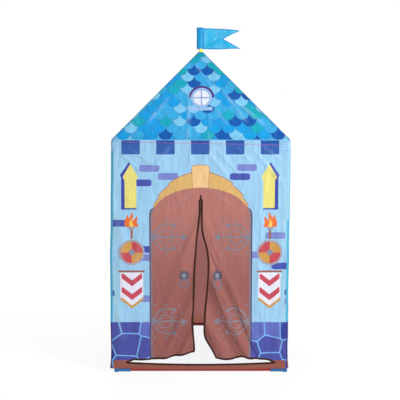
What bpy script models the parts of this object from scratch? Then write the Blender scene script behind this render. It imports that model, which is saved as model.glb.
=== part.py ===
"""A kids play tent: a square castle tower of printed cloth over a push-fit tube frame.

The front faces -Y, +X is to the right and +Z is up. The origin is on the floor, in the middle.
All sizes are in metres.
"""

from math import atan2, cos, degrees, hypot, pi, sin

import bmesh
import bpy
import numpy as np
from mathutils import Matrix, Vector

# The cover's main sizes
TENT_HALF = 0.350  # middle to the outer face of a wall
EAVE_HEIGHT = 0.930
APEX_HEIGHT = 1.3075  # where the four roof planes would meet
PEAK_HALF = 0.0095  # half the square opening that the flag pole leaves the roof by
CLOTH = 0.001  # the cloth, drawn thicker than the real 0.1 mm
GAP = 0.0003  # between pieces that touch
HEM_HEIGHT = 0.018  # the walls' lower edge at the corners
HEM_SAG = 0.005  # and how much lower it hangs half-way

# Tubes and the sleeves that they push into
TUBE_RADIUS = 0.0075
TUBE_WALL = 0.0012
SLEEVE_WALL = 0.0017
SLEEVE_RADIUS = TUBE_RADIUS + GAP + SLEEVE_WALL
TUBE_SIDES = 12
ARM_LENGTH = 0.057  # a connector's sleeve, from the middle of its corner
HIP_ARM_LENGTH = 0.066
STOP_DEPTH = 0.014  # from the middle of a corner to the shoulder that stops a tube
HIP_STOP_DEPTH = 0.022
KNUCKLE_OVERRUN = 0.004  # how far a sleeve's solid end passes the middle of the corner
BOSS_RADIUS = 0.0102  # the round foot of a floor connector
BOSS_EDGE = 0.003
BOSS_TOP = 0.021
BOSS_SIDES = 16
BASE_AXIS_HEIGHT = 0.010
COUPLER_LENGTH = 0.060
COUPLER_WEB = 0.002  # the wall across the middle of a coupler
CUT_OVERRUN = 0.002  # how far a cutter passes the face that it opens

# Elastic loops that hold the cover's corners down
LOOP_WALL = 0.001
LOOP_LOW = 0.032
LOOP_HEIGHT = 0.015

# The door: a slit up the middle, and one above the sill
SLIT_TOP = 0.7115
SLIT_MARGIN = 0.052  # the cloth left on each side of the opening at its foot
SLIT_HALF = TENT_HALF - SLIT_MARGIN
SILL_HEIGHT = 0.0405  # the sill's edge at its ends
SILL_SAG = 0.0085
SILL_BINDING_SHARE = 0.93  # of SLIT_HALF
CURVE_STEPS = 12
BINDING_WIDTH = 0.0035
BINDING_THICKNESS = 0.0016

# The flaps, with their main folds
FLAP_START = 0.0200  # along the fold line, from the slit's top to the flap's tip
FLAP_END = 0.0280  # and from the flap's last point to the foot of the fold line
FLAP_COLUMNS = 18
FLAP_ROWS = 18
FOLD_DEPTH = 0.0055
FOLD_PITCH = 0.078
FOLD_LEAN_SHARE = 0.42  # sideways run of a fold for each metre that it drops
FOLD_FADE = 0.090  # the folds die out over this distance from the fold line
FLAP_SWING = 0.004  # how far the free edges stand forward

# Shares of the slit's height, downwards, and of SLIT_HALF, sideways, along each flap's edges
LEFT_FREE_SHARES = [
    (0.135, 0.043), (0.260, 0.077), (0.415, 0.097), (0.552, 0.107), (0.649, 0.117),
    (0.746, 0.131), (0.843, 0.117), (0.907, 0.104),
]
LEFT_LOW_SHARES = [
    (0.938, 0.225), (0.953, 0.332), (0.962, 0.440), (0.968, 0.547), (0.969, 0.856), (0.969, 0.945),
]
RIGHT_FREE_SHARES = [
    (0.135, 0.036), (0.224, 0.067), (0.308, 0.111), (0.391, 0.121), (0.481, 0.121), (0.555, 0.101),
    (0.631, 0.077), (0.697, 0.064), (0.837, 0.060), (0.880, 0.111), (0.923, 0.174), (0.966, 0.218),
]
RIGHT_LOW_SHARES = [
    (0.972, 0.326), (0.973, 0.419), (0.967, 0.473), (0.953, 0.567), (0.969, 0.648), (0.971, 0.758),
    (0.974, 0.906), (0.975, 0.945),
]

# Reinforcing patches over the eave corners
PATCH_WIDTH = 0.036
PATCH_HEIGHT = 0.042
PATCH_DROP = 0.0025
PATCH_THICKNESS = 0.0006

# The flag: a sleeve round the pole and a swallowtail pennant
FLAG_LOW = 1.3108
FLAG_HEIGHT = 0.0907
SLEEVE_SHIFT = -0.003  # the sleeve's middle, from the pole's axis
SLEEVE_HALF_LENGTH = 0.014
SLEEVE_HALF_DEPTH = 0.0095
SLEEVE_SIDES = 16
FLAG_TIP = 0.168
FLAG_NOTCH = 0.097
NOTCH_SHARE = 0.53  # of the flag's height, from below
TIP_RISE_SHARE = 0.025
TIP_DROP_SHARE = 0.17
FLAG_WAVE = 0.005
FLAG_WAVE_TURNS = 1.1
FLAG_COLUMNS = 12
FLAG_ROWS = 6
FLAG_ROOT_SHARE = 0.35  # of the cloth, how far the pennant's root sits inside the sleeve
HEM_SHARE = 0.02  # of the flag's height left free above and below the pennant's root

# Worked out from the sizes above
ROOF_ANGLE = atan2(APEX_HEIGHT - EAVE_HEIGHT, TENT_HALF)
ROOF_SLOPE = (APEX_HEIGHT - EAVE_HEIGHT) / TENT_HALF
ROOF_STEP = CLOTH / sin(ROOF_ANGLE)  # from a roof panel's outer to its inner face, level
SLEEVE_TO_WALL = GAP + LOOP_WALL + GAP
FRAME_HALF = TENT_HALF - CLOTH - SLEEVE_TO_WALL - SLEEVE_RADIUS
ROOF_REST = SLEEVE_RADIUS + GAP + CLOTH  # from a hip sleeve's axis to the roof's outer face
EAVE_AXIS_HEIGHT = (
    EAVE_HEIGHT - (ROOF_REST - (TENT_HALF - FRAME_HALF) * sin(ROOF_ANGLE)) / cos(ROOF_ANGLE)
)
HIP_TOP = EAVE_AXIS_HEIGHT + FRAME_HALF * ROOF_SLOPE  # where the four hip axes meet
HUB_TOP = APEX_HEIGHT - (SLEEVE_RADIUS + GAP + ROOF_STEP) * ROOF_SLOPE
HUB_DEPTH = 0.034
POLE_SEAT = HIP_TOP - HUB_DEPTH + SLEEVE_WALL
POST_MIDDLE = (BASE_AXIS_HEIGHT + EAVE_AXIS_HEIGHT) / 2
SLIT_HEIGHT = SLIT_TOP - SILL_HEIGHT
FOLD_LENGTH = hypot(SLIT_HALF, SLIT_HEIGHT)
CORNERS = ["front_left", "front_right", "back_right", "back_left"]
SIDES = ["front", "right", "back", "left"]
X_AXIS = Vector((1, 0, 0))
Y_AXIS = Vector((0, 1, 0))
Z_AXIS = Vector((0, 0, 1))


def clear_scene():
    for obj in list(bpy.data.objects):
        bpy.data.objects.remove(obj, do_unlink=True)


def material(name, colour, roughness, metallic=0.0):
    made = bpy.data.materials.new(name)
    made.use_nodes = True
    shader = made.node_tree.nodes["Principled BSDF"]
    shader.inputs["Base Color"].default_value = (*colour, 1)
    shader.inputs["Roughness"].default_value = roughness
    shader.inputs["Metallic"].default_value = metallic
    made.diffuse_color = (*colour, 1)
    return made


def mesh_of(bm, name):
    """The bmesh as a mesh whose faces point outwards."""
    bmesh.ops.recalc_face_normals(bm, faces=bm.faces)
    if bm.calc_volume(signed=True) < 0:
        bmesh.ops.reverse_faces(bm, faces=bm.faces)
    made = bpy.data.meshes.new(name)
    bm.to_mesh(made)
    bm.free()
    return made


def place(name, mesh, finish, location=(0, 0, 0), turn=0.0, parent=None):
    """One named piece, turned about the vertical."""
    obj = bpy.data.objects.new(name, mesh)
    bpy.context.scene.collection.objects.link(obj)
    if not mesh.materials:
        mesh.materials.append(finish)
    obj.location = location
    obj.rotation_euler = (0, 0, turn)
    obj.parent = parent
    return obj


def empty_at(name, location):
    obj = bpy.data.objects.new(name, None)
    bpy.context.scene.collection.objects.link(obj)
    obj.location = location
    return obj


def rod(start, end, radius):
    """A solid round bar between two points, with one of its edges on top where it lies level."""
    start = Vector(start)
    run = Vector(end) - start
    bm = bmesh.new()
    bmesh.ops.create_cone(
        bm, cap_ends=True, segments=TUBE_SIDES, radius1=radius, radius2=radius, depth=run.length
    )
    turn = run.to_track_quat("Z", "Y").to_matrix().to_4x4()
    bm.transform(Matrix.Translation(start + run / 2) @ turn)
    return mesh_of(bm, "rod")


def turned(profile, sides):
    """A solid turned about the vertical from (radius, height) points, lowest first."""
    bm = bmesh.new()
    rings = []
    for radius, height in profile:
        angles = [2 * pi * i / sides for i in range(sides)]
        rings.append([bm.verts.new((radius * cos(a), radius * sin(a), height)) for a in angles])
    for low, high in zip(rings, rings[1:]):
        for i in range(sides):
            j = (i + 1) % sides
            bm.faces.new((low[i], low[j], high[j], high[i]))
    bm.faces.new(rings[0][::-1])
    bm.faces.new(rings[-1])
    return mesh_of(bm, "turned")


def prism(outline, start, rise):
    """A solid from an outline of points, carried along one vector."""
    bm = bmesh.new()
    low = [bm.verts.new(Vector(point) + Vector(start)) for point in outline]
    high = [bm.verts.new(vert.co + Vector(rise)) for vert in low]
    count = len(outline)
    for i in range(count):
        j = (i + 1) % count
        bm.faces.new((low[i], low[j], high[j], high[i]))
    bm.faces.new(low[::-1])
    bm.faces.new(high)
    return mesh_of(bm, "prism")


def solid(name, adds, cuts, solver="EXACT"):
    """One mesh: the added meshes joined, less the cut ones."""
    scene = bpy.context.scene.collection.objects
    helpers = [bpy.data.objects.new(f"helper_{i}", m) for i, m in enumerate(adds + cuts)]
    for helper in helpers:
        scene.link(helper)
    body = helpers[0]
    for i, helper in enumerate(helpers[1:], 1):
        step = body.modifiers.new("step", "BOOLEAN")
        step.operation = "UNION" if i < len(adds) else "DIFFERENCE"
        step.solver = solver
        step.object = helper
    graph = bpy.context.evaluated_depsgraph_get()
    made = bpy.data.meshes.new_from_object(body.evaluated_get(graph))
    made.name = name
    for helper in helpers:
        bpy.data.objects.remove(helper, do_unlink=True)
    made.materials.clear()
    made.shade_smooth()
    made.set_sharp_from_angle(angle=pi / 5)
    return made


def tube(name, start, end, finish):
    """A hollow tube between two points, whose origin is its first end."""
    start = Vector(start)
    run = Vector(end) - start
    ahead = run.normalized() * CUT_OVERRUN
    bore = rod(-ahead, run + ahead, TUBE_RADIUS - TUBE_WALL)
    mesh = solid(name, [rod((0, 0, 0), run, TUBE_RADIUS)], [bore])
    return place(name, mesh, finish, start)


def sleeve(direction, length, stop, overrun=0.0):
    """A connector's arm and its bore, from the middle of the corner out along a direction."""
    ahead = Vector(direction).normalized()
    outer = rod(-ahead * overrun, ahead * length, SLEEVE_RADIUS)
    bore = rod(ahead * stop, ahead * (length + CUT_OVERRUN), TUBE_RADIUS + GAP)
    return outer, bore


def corner_place(index, height):
    """The corner of the frame at one index of CORNERS, and its quarter turns."""
    turn = index * pi / 2
    spot = Matrix.Rotation(turn, 3, "Z") @ Vector((-FRAME_HALF, -FRAME_HALF, 0))
    return (spot.x, spot.y, height), turn


def make_base_corners(finish):
    boss = turned(
        [
            (BOSS_RADIUS - BOSS_EDGE, -BASE_AXIS_HEIGHT),
            (BOSS_RADIUS, BOSS_EDGE - BASE_AXIS_HEIGHT),
            (BOSS_RADIUS, BOSS_TOP - BASE_AXIS_HEIGHT),
        ],
        BOSS_SIDES,
    )
    arms = [sleeve(axis, ARM_LENGTH, STOP_DEPTH) for axis in (X_AXIS, Y_AXIS, Z_AXIS)]
    mesh = solid("base_corner", [boss] + [arm[0] for arm in arms], [arm[1] for arm in arms])
    for i, corner in enumerate(CORNERS):
        place(f"base_corner_{corner}", mesh, finish, *corner_place(i, BASE_AXIS_HEIGHT))


def make_eave_corners(finish):
    hip = Vector((1, 1, ROOF_SLOPE))
    arms = [sleeve(axis, ARM_LENGTH, STOP_DEPTH, KNUCKLE_OVERRUN) for axis in (X_AXIS, Y_AXIS, -Z_AXIS)]
    arms.append(sleeve(hip, HIP_ARM_LENGTH, HIP_STOP_DEPTH))
    mesh = solid("eave_corner", [arm[0] for arm in arms], [arm[1] for arm in arms])
    for i, corner in enumerate(CORNERS):
        place(f"eave_corner_{corner}", mesh, finish, *corner_place(i, EAVE_AXIS_HEIGHT))


def make_apex_hub(finish):
    """The piece at the peak: four sleeves for the hip tubes, and a socket for the flag pole."""
    top = HUB_TOP - HIP_TOP
    adds = [rod((0, 0, -HUB_DEPTH), (0, 0, top + CUT_OVERRUN), SLEEVE_RADIUS)]
    cuts = []
    for i in range(len(CORNERS)):
        ahead = Matrix.Rotation(i * pi / 2, 3, "Z") @ Vector((-1, -1, -ROOF_SLOPE))
        outer, bore = sleeve(ahead, HIP_ARM_LENGTH, HIP_STOP_DEPTH, KNUCKLE_OVERRUN)
        adds.append(outer)
        cuts.append(bore)
    reach = ARM_LENGTH
    square = [(-reach, -reach, 0), (reach, -reach, 0), (reach, reach, 0), (-reach, reach, 0)]
    cuts.append(prism(square, (0, 0, top), (0, 0, reach)))
    cuts.append(rod((0, 0, POLE_SEAT - HIP_TOP), (0, 0, top + 2 * CUT_OVERRUN), TUBE_RADIUS + GAP))
    mesh = solid("apex_hub", adds, cuts, "MANIFOLD")  # its four-fold symmetry defeats EXACT
    return place("apex_hub", mesh, finish, (0, 0, HIP_TOP))


def make_side_tubes(name, height, finish):
    """The level tubes between neighbouring corners, at the floor or at the eaves."""
    half = FRAME_HALF - STOP_DEPTH - GAP
    for i, side in enumerate(SIDES):
        turn = Matrix.Rotation(i * pi / 2, 3, "Z")
        start = turn @ Vector((-half, -FRAME_HALF, height))
        end = turn @ Vector((half, -FRAME_HALF, height))
        tube(f"{name}_{side}", start, end, finish)


def make_posts(finish, joiner):
    clear = COUPLER_WEB / 2 + GAP
    half = COUPLER_LENGTH / 2
    outer = rod((0, 0, -half), (0, 0, half), SLEEVE_RADIUS)
    bores = [
        rod((0, 0, sign * COUPLER_WEB / 2), (0, 0, sign * (half + CUT_OVERRUN)), TUBE_RADIUS + GAP)
        for sign in (-1, 1)
    ]
    coupler = solid("post_coupler", [outer], bores)
    for i, corner in enumerate(CORNERS):
        (x, y, _), turn = corner_place(i, 0)
        foot = BASE_AXIS_HEIGHT + STOP_DEPTH + GAP
        head = EAVE_AXIS_HEIGHT - STOP_DEPTH - GAP
        tube(f"post_lower_{corner}", (x, y, foot), (x, y, POST_MIDDLE - clear), finish)
        tube(f"post_upper_{corner}", (x, y, POST_MIDDLE + clear), (x, y, head), finish)
        place(f"post_coupler_{corner}", coupler, joiner, (x, y, POST_MIDDLE), turn)


def make_hip_tubes(finish):
    for i, corner in enumerate(CORNERS):
        (x, y, _), _ = corner_place(i, 0)
        low = Vector((x, y, EAVE_AXIS_HEIGHT))
        high = Vector((0, 0, HIP_TOP))
        ahead = (high - low).normalized() * (HIP_STOP_DEPTH + GAP)
        tube(f"hip_tube_{corner}", low + ahead, high - ahead, finish)


def make_hem_loops(finish):
    """The elastic loops, round the upright sleeves of the floor connectors."""
    inner = SLEEVE_RADIUS + GAP
    outer = rod((0, 0, 0), (0, 0, LOOP_HEIGHT), inner + LOOP_WALL)
    hole = rod((0, 0, -CUT_OVERRUN), (0, 0, LOOP_HEIGHT + CUT_OVERRUN), inner)
    mesh = solid("hem_loop", [outer], [hole])
    for i, corner in enumerate(CORNERS):
        place(f"hem_loop_{corner}", mesh, finish, *corner_place(i, LOOP_LOW))


def sagging(reach, half, height, sag):
    """Points along an edge that hangs lower half-way, from -reach to reach."""
    places = np.linspace(-reach, reach, CURVE_STEPS + 1)
    return [(x, 0, height - sag * (1 - (x / half) ** 2)) for x in places]


def wall_plate(half):
    """A wall's plate, from its outer face at y = 0 inwards, with its sagging hem."""
    top = EAVE_HEIGHT - GAP
    hem = sagging(half, TENT_HALF, HEM_HEIGHT, HEM_SAG)
    return prism(hem + [(half, 0, top), (-half, 0, top)], (0, 0, 0), (0, CLOTH, 0))


def door_cutter():
    """The door's triangle, wider inside than outside, so that a flap can swing both ways."""
    bm = bmesh.new()
    loops = []
    for depth in (-CLOTH, 2 * CLOTH):
        edge = GAP / 2 + depth
        side = edge * FOLD_LENGTH / SLIT_HEIGHT
        top = SLIT_TOP + edge * FOLD_LENGTH / SLIT_HALF
        half = SLIT_HALF + side
        low = sagging(half, SLIT_HALF, SILL_HEIGHT, SILL_SAG)
        loops.append([bm.verts.new((x, depth, z)) for x, _, z in low + [(0, 0, top)]])
    front, back = loops
    for i in range(len(front)):
        j = (i + 1) % len(front)
        bm.faces.new((front[i], front[j], back[j], back[i]))
    bm.faces.new(front)
    bm.faces.new(back[::-1])
    return mesh_of(bm, "door_cutter")


def make_walls(finish):
    inset = TENT_HALF - CLOTH - GAP
    front = solid("front_wall", [wall_plate(TENT_HALF)], [door_cutter()])
    plates = {
        "front": front,
        "right": wall_plate(inset),
        "back": wall_plate(TENT_HALF),
        "left": wall_plate(inset),
    }
    for i, (side, mesh) in enumerate(plates.items()):
        spot = Matrix.Rotation(i * pi / 2, 3, "Z") @ Vector((0, -TENT_HALF, 0))
        place(f"{side}_wall", mesh, finish, spot, i * pi / 2)


def make_roof(finish):
    """Four sloping panels that meet along the hips."""
    bm = bmesh.new()
    rings = []
    for height in (EAVE_HEIGHT, APEX_HEIGHT - PEAK_HALF * ROOF_SLOPE):
        outer = (APEX_HEIGHT - height) / ROOF_SLOPE
        inner = outer - ROOF_STEP
        spots = [(-1, outer), (1, outer), (1, inner), (-1, inner)]
        rings.append([bm.verts.new((sign * (d - GAP / 2), -d, height)) for sign, d in spots])
    low, high = rings
    for i in range(len(low)):
        j = (i + 1) % len(low)
        bm.faces.new((low[i], low[j], high[j], high[i]))
    bm.faces.new(low[::-1])
    bm.faces.new(high)
    mesh = mesh_of(bm, "roof_panel")
    for i, side in enumerate(SIDES):
        place(f"roof_panel_{side}", mesh, finish, turn=i * pi / 2)


def make_eave_patches(finish):
    """L-shaped patches sewn over the outside of the corners, just under the eaves."""
    near = GAP
    far = GAP + PATCH_THICKNESS
    outline = [
        (-far, -far, 0), (PATCH_WIDTH, -far, 0), (PATCH_WIDTH, -near, 0),
        (-near, -near, 0), (-near, PATCH_WIDTH, 0), (-far, PATCH_WIDTH, 0),
    ]
    mesh = prism(outline, (0, 0, -PATCH_HEIGHT), (0, 0, PATCH_HEIGHT))
    for i, corner in enumerate(CORNERS):
        turn = i * pi / 2
        spot = Matrix.Rotation(turn, 3, "Z") @ Vector((-TENT_HALF, -TENT_HALF, 0))
        height = EAVE_HEIGHT - PATCH_DROP
        place(f"eave_patch_{corner}", mesh, finish, (spot.x, spot.y, height), turn)


def ribbon(path, name):
    """A binding tape outside a cut edge: path holds (x, z, outward x, outward z, y) along it."""
    bm = bmesh.new()
    rings = []
    for x, z, out_x, out_z, y in path:
        spots = []
        for out, deep in ((0, -1), (1, -1), (1, 1), (0, 1)):
            far = GAP + out * BINDING_WIDTH
            spots.append((x + out_x * far, y + deep * BINDING_THICKNESS / 2, z + out_z * far))
        rings.append([bm.verts.new(spot) for spot in spots])
    for here, after in zip(rings, rings[1:]):
        for i in range(len(here)):
            j = (i + 1) % len(here)
            bm.faces.new((here[i], here[j], after[j], after[i]))
    bm.faces.new(rings[0][::-1])
    bm.faces.new(rings[-1])
    return mesh_of(bm, name)


def make_sill_binding(finish):
    edge = sagging(SILL_BINDING_SHARE * SLIT_HALF, SLIT_HALF, SILL_HEIGHT, SILL_SAG)
    mesh = ribbon([(x, z, 0, 1, CLOTH / 2) for x, _, z in edge], "sill_binding")
    place("sill_binding", mesh, finish, (0, -TENT_HALF, 0))


def fold_line(side):
    """Unit vectors in the wall: down along a flap's fold line, and from it into the flap."""
    down = np.array([side * SLIT_HALF, -SLIT_HEIGHT]) / FOLD_LENGTH
    inward = np.array([-side * SLIT_HEIGHT, -SLIT_HALF]) / FOLD_LENGTH
    return down, inward


def flap_edges(side, free_shares, low_shares):
    """The flap's four edges as rows of (x, z), measured from the slit's top."""
    down, inward = fold_line(side)
    along = np.linspace(FLAP_START, FOLD_LENGTH - FLAP_END, FLAP_COLUMNS)
    fold = along[:, None] * down + inward * GAP / 2
    scale = np.array([side * SLIT_HALF, -SLIT_HEIGHT])
    free = np.array([(sideways, drop) for drop, sideways in free_shares]) * scale
    free = np.vstack([fold[0], free])
    low = np.array([(sideways, drop) for drop, sideways in low_shares]) * scale
    low = np.vstack([free[-1], low])
    steps = np.linspace(free[0, 1], free[-1, 1], FLAP_ROWS)
    free = np.column_stack([np.interp(-steps, -free[:, 1], free[:, 0]), steps])
    steps = np.linspace(abs(low[0, 0]), abs(low[-1, 0]), FLAP_COLUMNS)
    low = np.column_stack([side * steps, np.interp(steps, abs(low[:, 0]), low[:, 1])])
    share = np.linspace(0, 1, FLAP_ROWS)[:, None]
    return fold, low, free, fold[-1] * (1 - share) + low[-1] * share


def flap_depth(side, x, z):
    """How far the hanging flap stands behind the wall's outer face: its folds, forward at the free edge."""
    down, inward = fold_line(side)
    away = np.clip((x * inward[0] + z * inward[1]) / FOLD_FADE, 0, 1)
    fade = away * away * (3 - 2 * away)
    turns = (side * x + FOLD_LEAN_SHARE * z) / FOLD_PITCH
    return fade * (FOLD_DEPTH * np.sin(2 * pi * turns) - FLAP_SWING)


def make_flap(name, side, shares, finish, edge_finish):
    """A door flap as it hangs, hinged on its fold line, and the tape on its cut edges."""
    fold, low, free, end = flap_edges(side, *shares)
    s = np.linspace(0, 1, FLAP_COLUMNS)[:, None, None]
    t = np.linspace(0, 1, FLAP_ROWS)[None, :, None]
    corners = (1 - s) * (1 - t) * fold[0] + (1 - s) * t * low[0] + s * (1 - t) * fold[-1] + s * t * low[-1]
    net = (1 - t) * fold[:, None] + t * low[:, None] + (1 - s) * free[None] + s * end[None] - corners
    _, inward = fold_line(side)
    hinge = empty_at(f"{name}_hinge", (0, -TENT_HALF, SLIT_TOP))
    bm = bmesh.new()
    layers = []
    for step in (0, CLOTH):
        flat = net.copy()
        flat[:, 0] += inward * step
        y = flap_depth(side, net[..., 0], net[..., 1]) + step
        layers.append(
            [
                [bm.verts.new((flat[i, j, 0], y[i, j], flat[i, j, 1])) for j in range(FLAP_ROWS)]
                for i in range(FLAP_COLUMNS)
            ]
        )
    front, back = layers
    for i in range(FLAP_COLUMNS - 1):
        for j in range(FLAP_ROWS - 1):
            for layer in layers:
                bm.faces.new((layer[i][j], layer[i + 1][j], layer[i + 1][j + 1], layer[i][j + 1]))
    rim = [(i, 0) for i in range(FLAP_COLUMNS)] + [(FLAP_COLUMNS - 1, j) for j in range(1, FLAP_ROWS)]
    rim += [(i, FLAP_ROWS - 1) for i in range(FLAP_COLUMNS - 2, -1, -1)]
    rim += [(0, j) for j in range(FLAP_ROWS - 2, 0, -1)]
    for (i, j), (k, m) in zip(rim, rim[1:] + rim[:1]):
        bm.faces.new((front[i][j], front[k][m], back[k][m], back[i][j]))
    mesh = mesh_of(bm, name)
    mesh.shade_smooth()
    place(name, mesh, finish, parent=hinge)

    edge = np.vstack([free[1:], low[1:-1]])
    ahead = np.gradient(edge, axis=0)
    ahead /= np.linalg.norm(ahead, axis=1)[:, None]
    out = np.column_stack([ahead[:, 1], -ahead[:, 0]]) * side
    y = flap_depth(side, edge[:, 0], edge[:, 1]) + CLOTH / 2
    path = [(x, z, out_x, out_z, deep) for (x, z), (out_x, out_z), deep in zip(edge, out, y)]
    place(f"{name}_binding", ribbon(path, f"{name}_binding"), edge_finish, parent=hinge)
    print(f"{name}: turns about {(-side * down_axis(side)).round(4)}")


def down_axis(side):
    """The fold line's direction in space, down from the slit's top."""
    down, _ = fold_line(side)
    return np.array([down[0], 0, down[1]])


def ellipse_tube(wall):
    """The outer or inner shape of the flag's sleeve, from its open foot."""
    bm = bmesh.new()
    rings = []
    low, high = (0, FLAG_HEIGHT) if wall == 0 else (-CUT_OVERRUN, FLAG_HEIGHT - CLOTH)
    for height in (low, high):
        ring = []
        for i in range(SLEEVE_SIDES):
            angle = 2 * pi * i / SLEEVE_SIDES
            x = SLEEVE_SHIFT + (SLEEVE_HALF_LENGTH - wall) * cos(angle)
            ring.append(bm.verts.new((x, (SLEEVE_HALF_DEPTH - wall) * sin(angle), height)))
        rings.append(ring)
    for i in range(SLEEVE_SIDES):
        j = (i + 1) % SLEEVE_SIDES
        bm.faces.new((rings[0][i], rings[0][j], rings[1][j], rings[1][i]))
    bm.faces.new(rings[0][::-1])
    bm.faces.new(rings[1])
    return mesh_of(bm, "sleeve")


def pennant():
    """The flying part: two tails with a notch between them, in one slow wave."""
    bm = bmesh.new()
    root = SLEEVE_SHIFT + SLEEVE_HALF_LENGTH - (1 - FLAG_ROOT_SHARE) * CLOTH
    layers = []
    for side in (-1, 1):
        layer = []
        for i in range(FLAG_COLUMNS):
            u = i / (FLAG_COLUMNS - 1)
            column = []
            for j in range(FLAG_ROWS + 1):
                v = j / FLAG_ROWS
                fork = abs(v - NOTCH_SHARE) / (NOTCH_SHARE if v < NOTCH_SHARE else 1 - NOTCH_SHARE)
                end = FLAG_NOTCH + (FLAG_TIP - FLAG_NOTCH) * fork
                x = root + u * (end - root)
                run = (x - root) / (FLAG_TIP - root)
                low = HEM_SHARE + TIP_RISE_SHARE * run
                high = 1 - HEM_SHARE - TIP_DROP_SHARE * run
                y = FLAG_WAVE * run * sin(2 * pi * FLAG_WAVE_TURNS * run) + side * CLOTH / 2
                column.append(bm.verts.new((x, y, FLAG_HEIGHT * (low + (high - low) * v))))
            layer.append(column)
        layers.append(layer)
    last, top = FLAG_COLUMNS - 1, FLAG_ROWS
    for layer in layers:
        for i in range(last):
            for j in range(top):
                bm.faces.new((layer[i][j], layer[i + 1][j], layer[i + 1][j + 1], layer[i][j + 1]))
    rim = [(i, 0) for i in range(last)] + [(last, j) for j in range(top)]
    rim += [(i, top) for i in range(last, 0, -1)] + [(0, j) for j in range(top, 0, -1)]
    back, front = layers
    for (i, j), (k, m) in zip(rim, rim[1:] + rim[:1]):
        bm.faces.new((back[i][j], back[k][m], front[k][m], front[i][j]))
    return mesh_of(bm, "pennant")


def make_flag(cloth, finish):
    """The pole stands in the hub, and the flag turns freely on it."""
    pole_top = FLAG_LOW + FLAG_HEIGHT - CLOTH - GAP
    tube("flag_pole", (0, 0, POLE_SEAT + GAP), (0, 0, pole_top), finish)
    swivel = empty_at("flag_swivel", (0, 0, FLAG_LOW))
    mesh = solid("flag", [ellipse_tube(0), pennant()], [ellipse_tube(CLOTH)])
    place("flag", mesh, cloth, parent=swivel)


def main():
    clear_scene()
    blue = material("moulded_blue", (0.0, 0.19, 0.58), 0.35)
    red = material("tube_red", (0.53, 0.02, 0.012), 0.3)
    yellow = material("tube_yellow", (1.0, 0.8, 0.02), 0.3)
    wall_cloth = material("wall_cloth", (0.30, 0.55, 0.80), 0.7)
    roof_cloth = material("roof_cloth", (0.02, 0.36, 0.72), 0.7)
    door_cloth = material("door_cloth", (0.46, 0.13, 0.10), 0.7)
    flag_cloth = material("flag_cloth", (0.01, 0.39, 0.74), 0.7)
    tape = material("binding_tape", (0.04, 0.01, 0.005), 0.8)
    elastic = material("elastic_band", (0.8, 0.8, 0.78), 0.85)

    make_base_corners(blue)
    make_side_tubes("base_tube", BASE_AXIS_HEIGHT, red)
    make_posts(yellow, blue)
    make_eave_corners(blue)
    make_side_tubes("eave_tube", EAVE_AXIS_HEIGHT, red)
    make_hip_tubes(yellow)
    make_apex_hub(blue)
    make_hem_loops(elastic)
    make_walls(wall_cloth)
    make_roof(roof_cloth)
    make_eave_patches(wall_cloth)
    make_sill_binding(tape)
    make_flap("door_flap_left", -1, (LEFT_FREE_SHARES, LEFT_LOW_SHARES), door_cloth, tape)
    make_flap("door_flap_right", 1, (RIGHT_FREE_SHARES, RIGHT_LOW_SHARES), door_cloth, tape)
    make_flag(flag_cloth, yellow)
    print(f"roof slope {degrees(ROOF_ANGLE):.1f} degrees, frame half {FRAME_HALF:.4f}")
    print(f"eave axis {EAVE_AXIS_HEIGHT:.4f}, hub top {HUB_TOP:.4f}, hip axes meet at {HIP_TOP:.4f}")


main()
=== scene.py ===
# %% [markdown]
# # A castle play tent, dressed
#
# The real tent is a printed polyester cover, as thin as a kite, pulled over a frame of plastic
# tubes. This notebook loads the measured solids of that tent as a fixed frame and dresses them:
# thin sheets for the cover, smooth round tubes for the frame, and prints made of formulas.

# %% Load the frame
from math import atan2, cos, hypot, pi, radians, sin

import bpy
import numpy as np
from mathutils import Matrix, Vector, noise


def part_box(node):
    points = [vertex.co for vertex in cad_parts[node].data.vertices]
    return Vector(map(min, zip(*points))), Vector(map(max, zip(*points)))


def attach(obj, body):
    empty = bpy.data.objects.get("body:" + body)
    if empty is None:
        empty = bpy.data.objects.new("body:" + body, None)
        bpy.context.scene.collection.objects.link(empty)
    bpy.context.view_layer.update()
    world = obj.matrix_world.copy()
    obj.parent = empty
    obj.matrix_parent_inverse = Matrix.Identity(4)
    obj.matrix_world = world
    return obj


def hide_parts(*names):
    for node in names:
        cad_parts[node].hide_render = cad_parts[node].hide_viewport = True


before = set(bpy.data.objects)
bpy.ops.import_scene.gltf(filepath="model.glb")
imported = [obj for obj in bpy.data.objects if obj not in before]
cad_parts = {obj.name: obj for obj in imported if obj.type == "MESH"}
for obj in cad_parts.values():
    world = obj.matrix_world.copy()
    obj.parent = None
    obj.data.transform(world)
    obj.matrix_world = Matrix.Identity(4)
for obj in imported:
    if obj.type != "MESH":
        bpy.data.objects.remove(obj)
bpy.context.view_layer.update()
MM = 0.001
CORNERS = ["front_left", "front_right", "back_right", "back_left"]
SIDES = ["front", "right", "back", "left"]

# %% [markdown]
# Every size that follows comes from the solids, so that the sheets hang where the frame holds
# them. The boxes of a wall, a roof panel and a tube give nearly all of them.

# %% Sizes read from the solids
_, wall_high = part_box("front_wall")
_, roof_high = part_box("roof_panel_front")
HALF = wall_high.x
EAVE = wall_high.z
PEAK = roof_high.z
post_low, post_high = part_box("post_lower_front_right")
POST = (post_low.x + post_high.x) / 2
TUBE = (post_high.x - post_low.x) / 2
CORNER_RADIUS = HALF - POST
PEAK_HALF = 9.5 * MM
SLOPE = (PEAK - EAVE) / (HALF - PEAK_HALF)
CLOTH = 0.4 * MM
print(f"half width {HALF:.4f}, eaves {EAVE:.4f}, peak {PEAK:.4f}, post axis {POST:.4f}")

# %% [markdown]
# ## Camera and light
#
# The walls narrow a little towards the floor in the view, which puts the camera near eye height,
# looking slightly down, about three metres away. Soft lamps from both sides and a bright world
# keep the colours as they are written, and the floor turns white for the camera alone.

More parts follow.
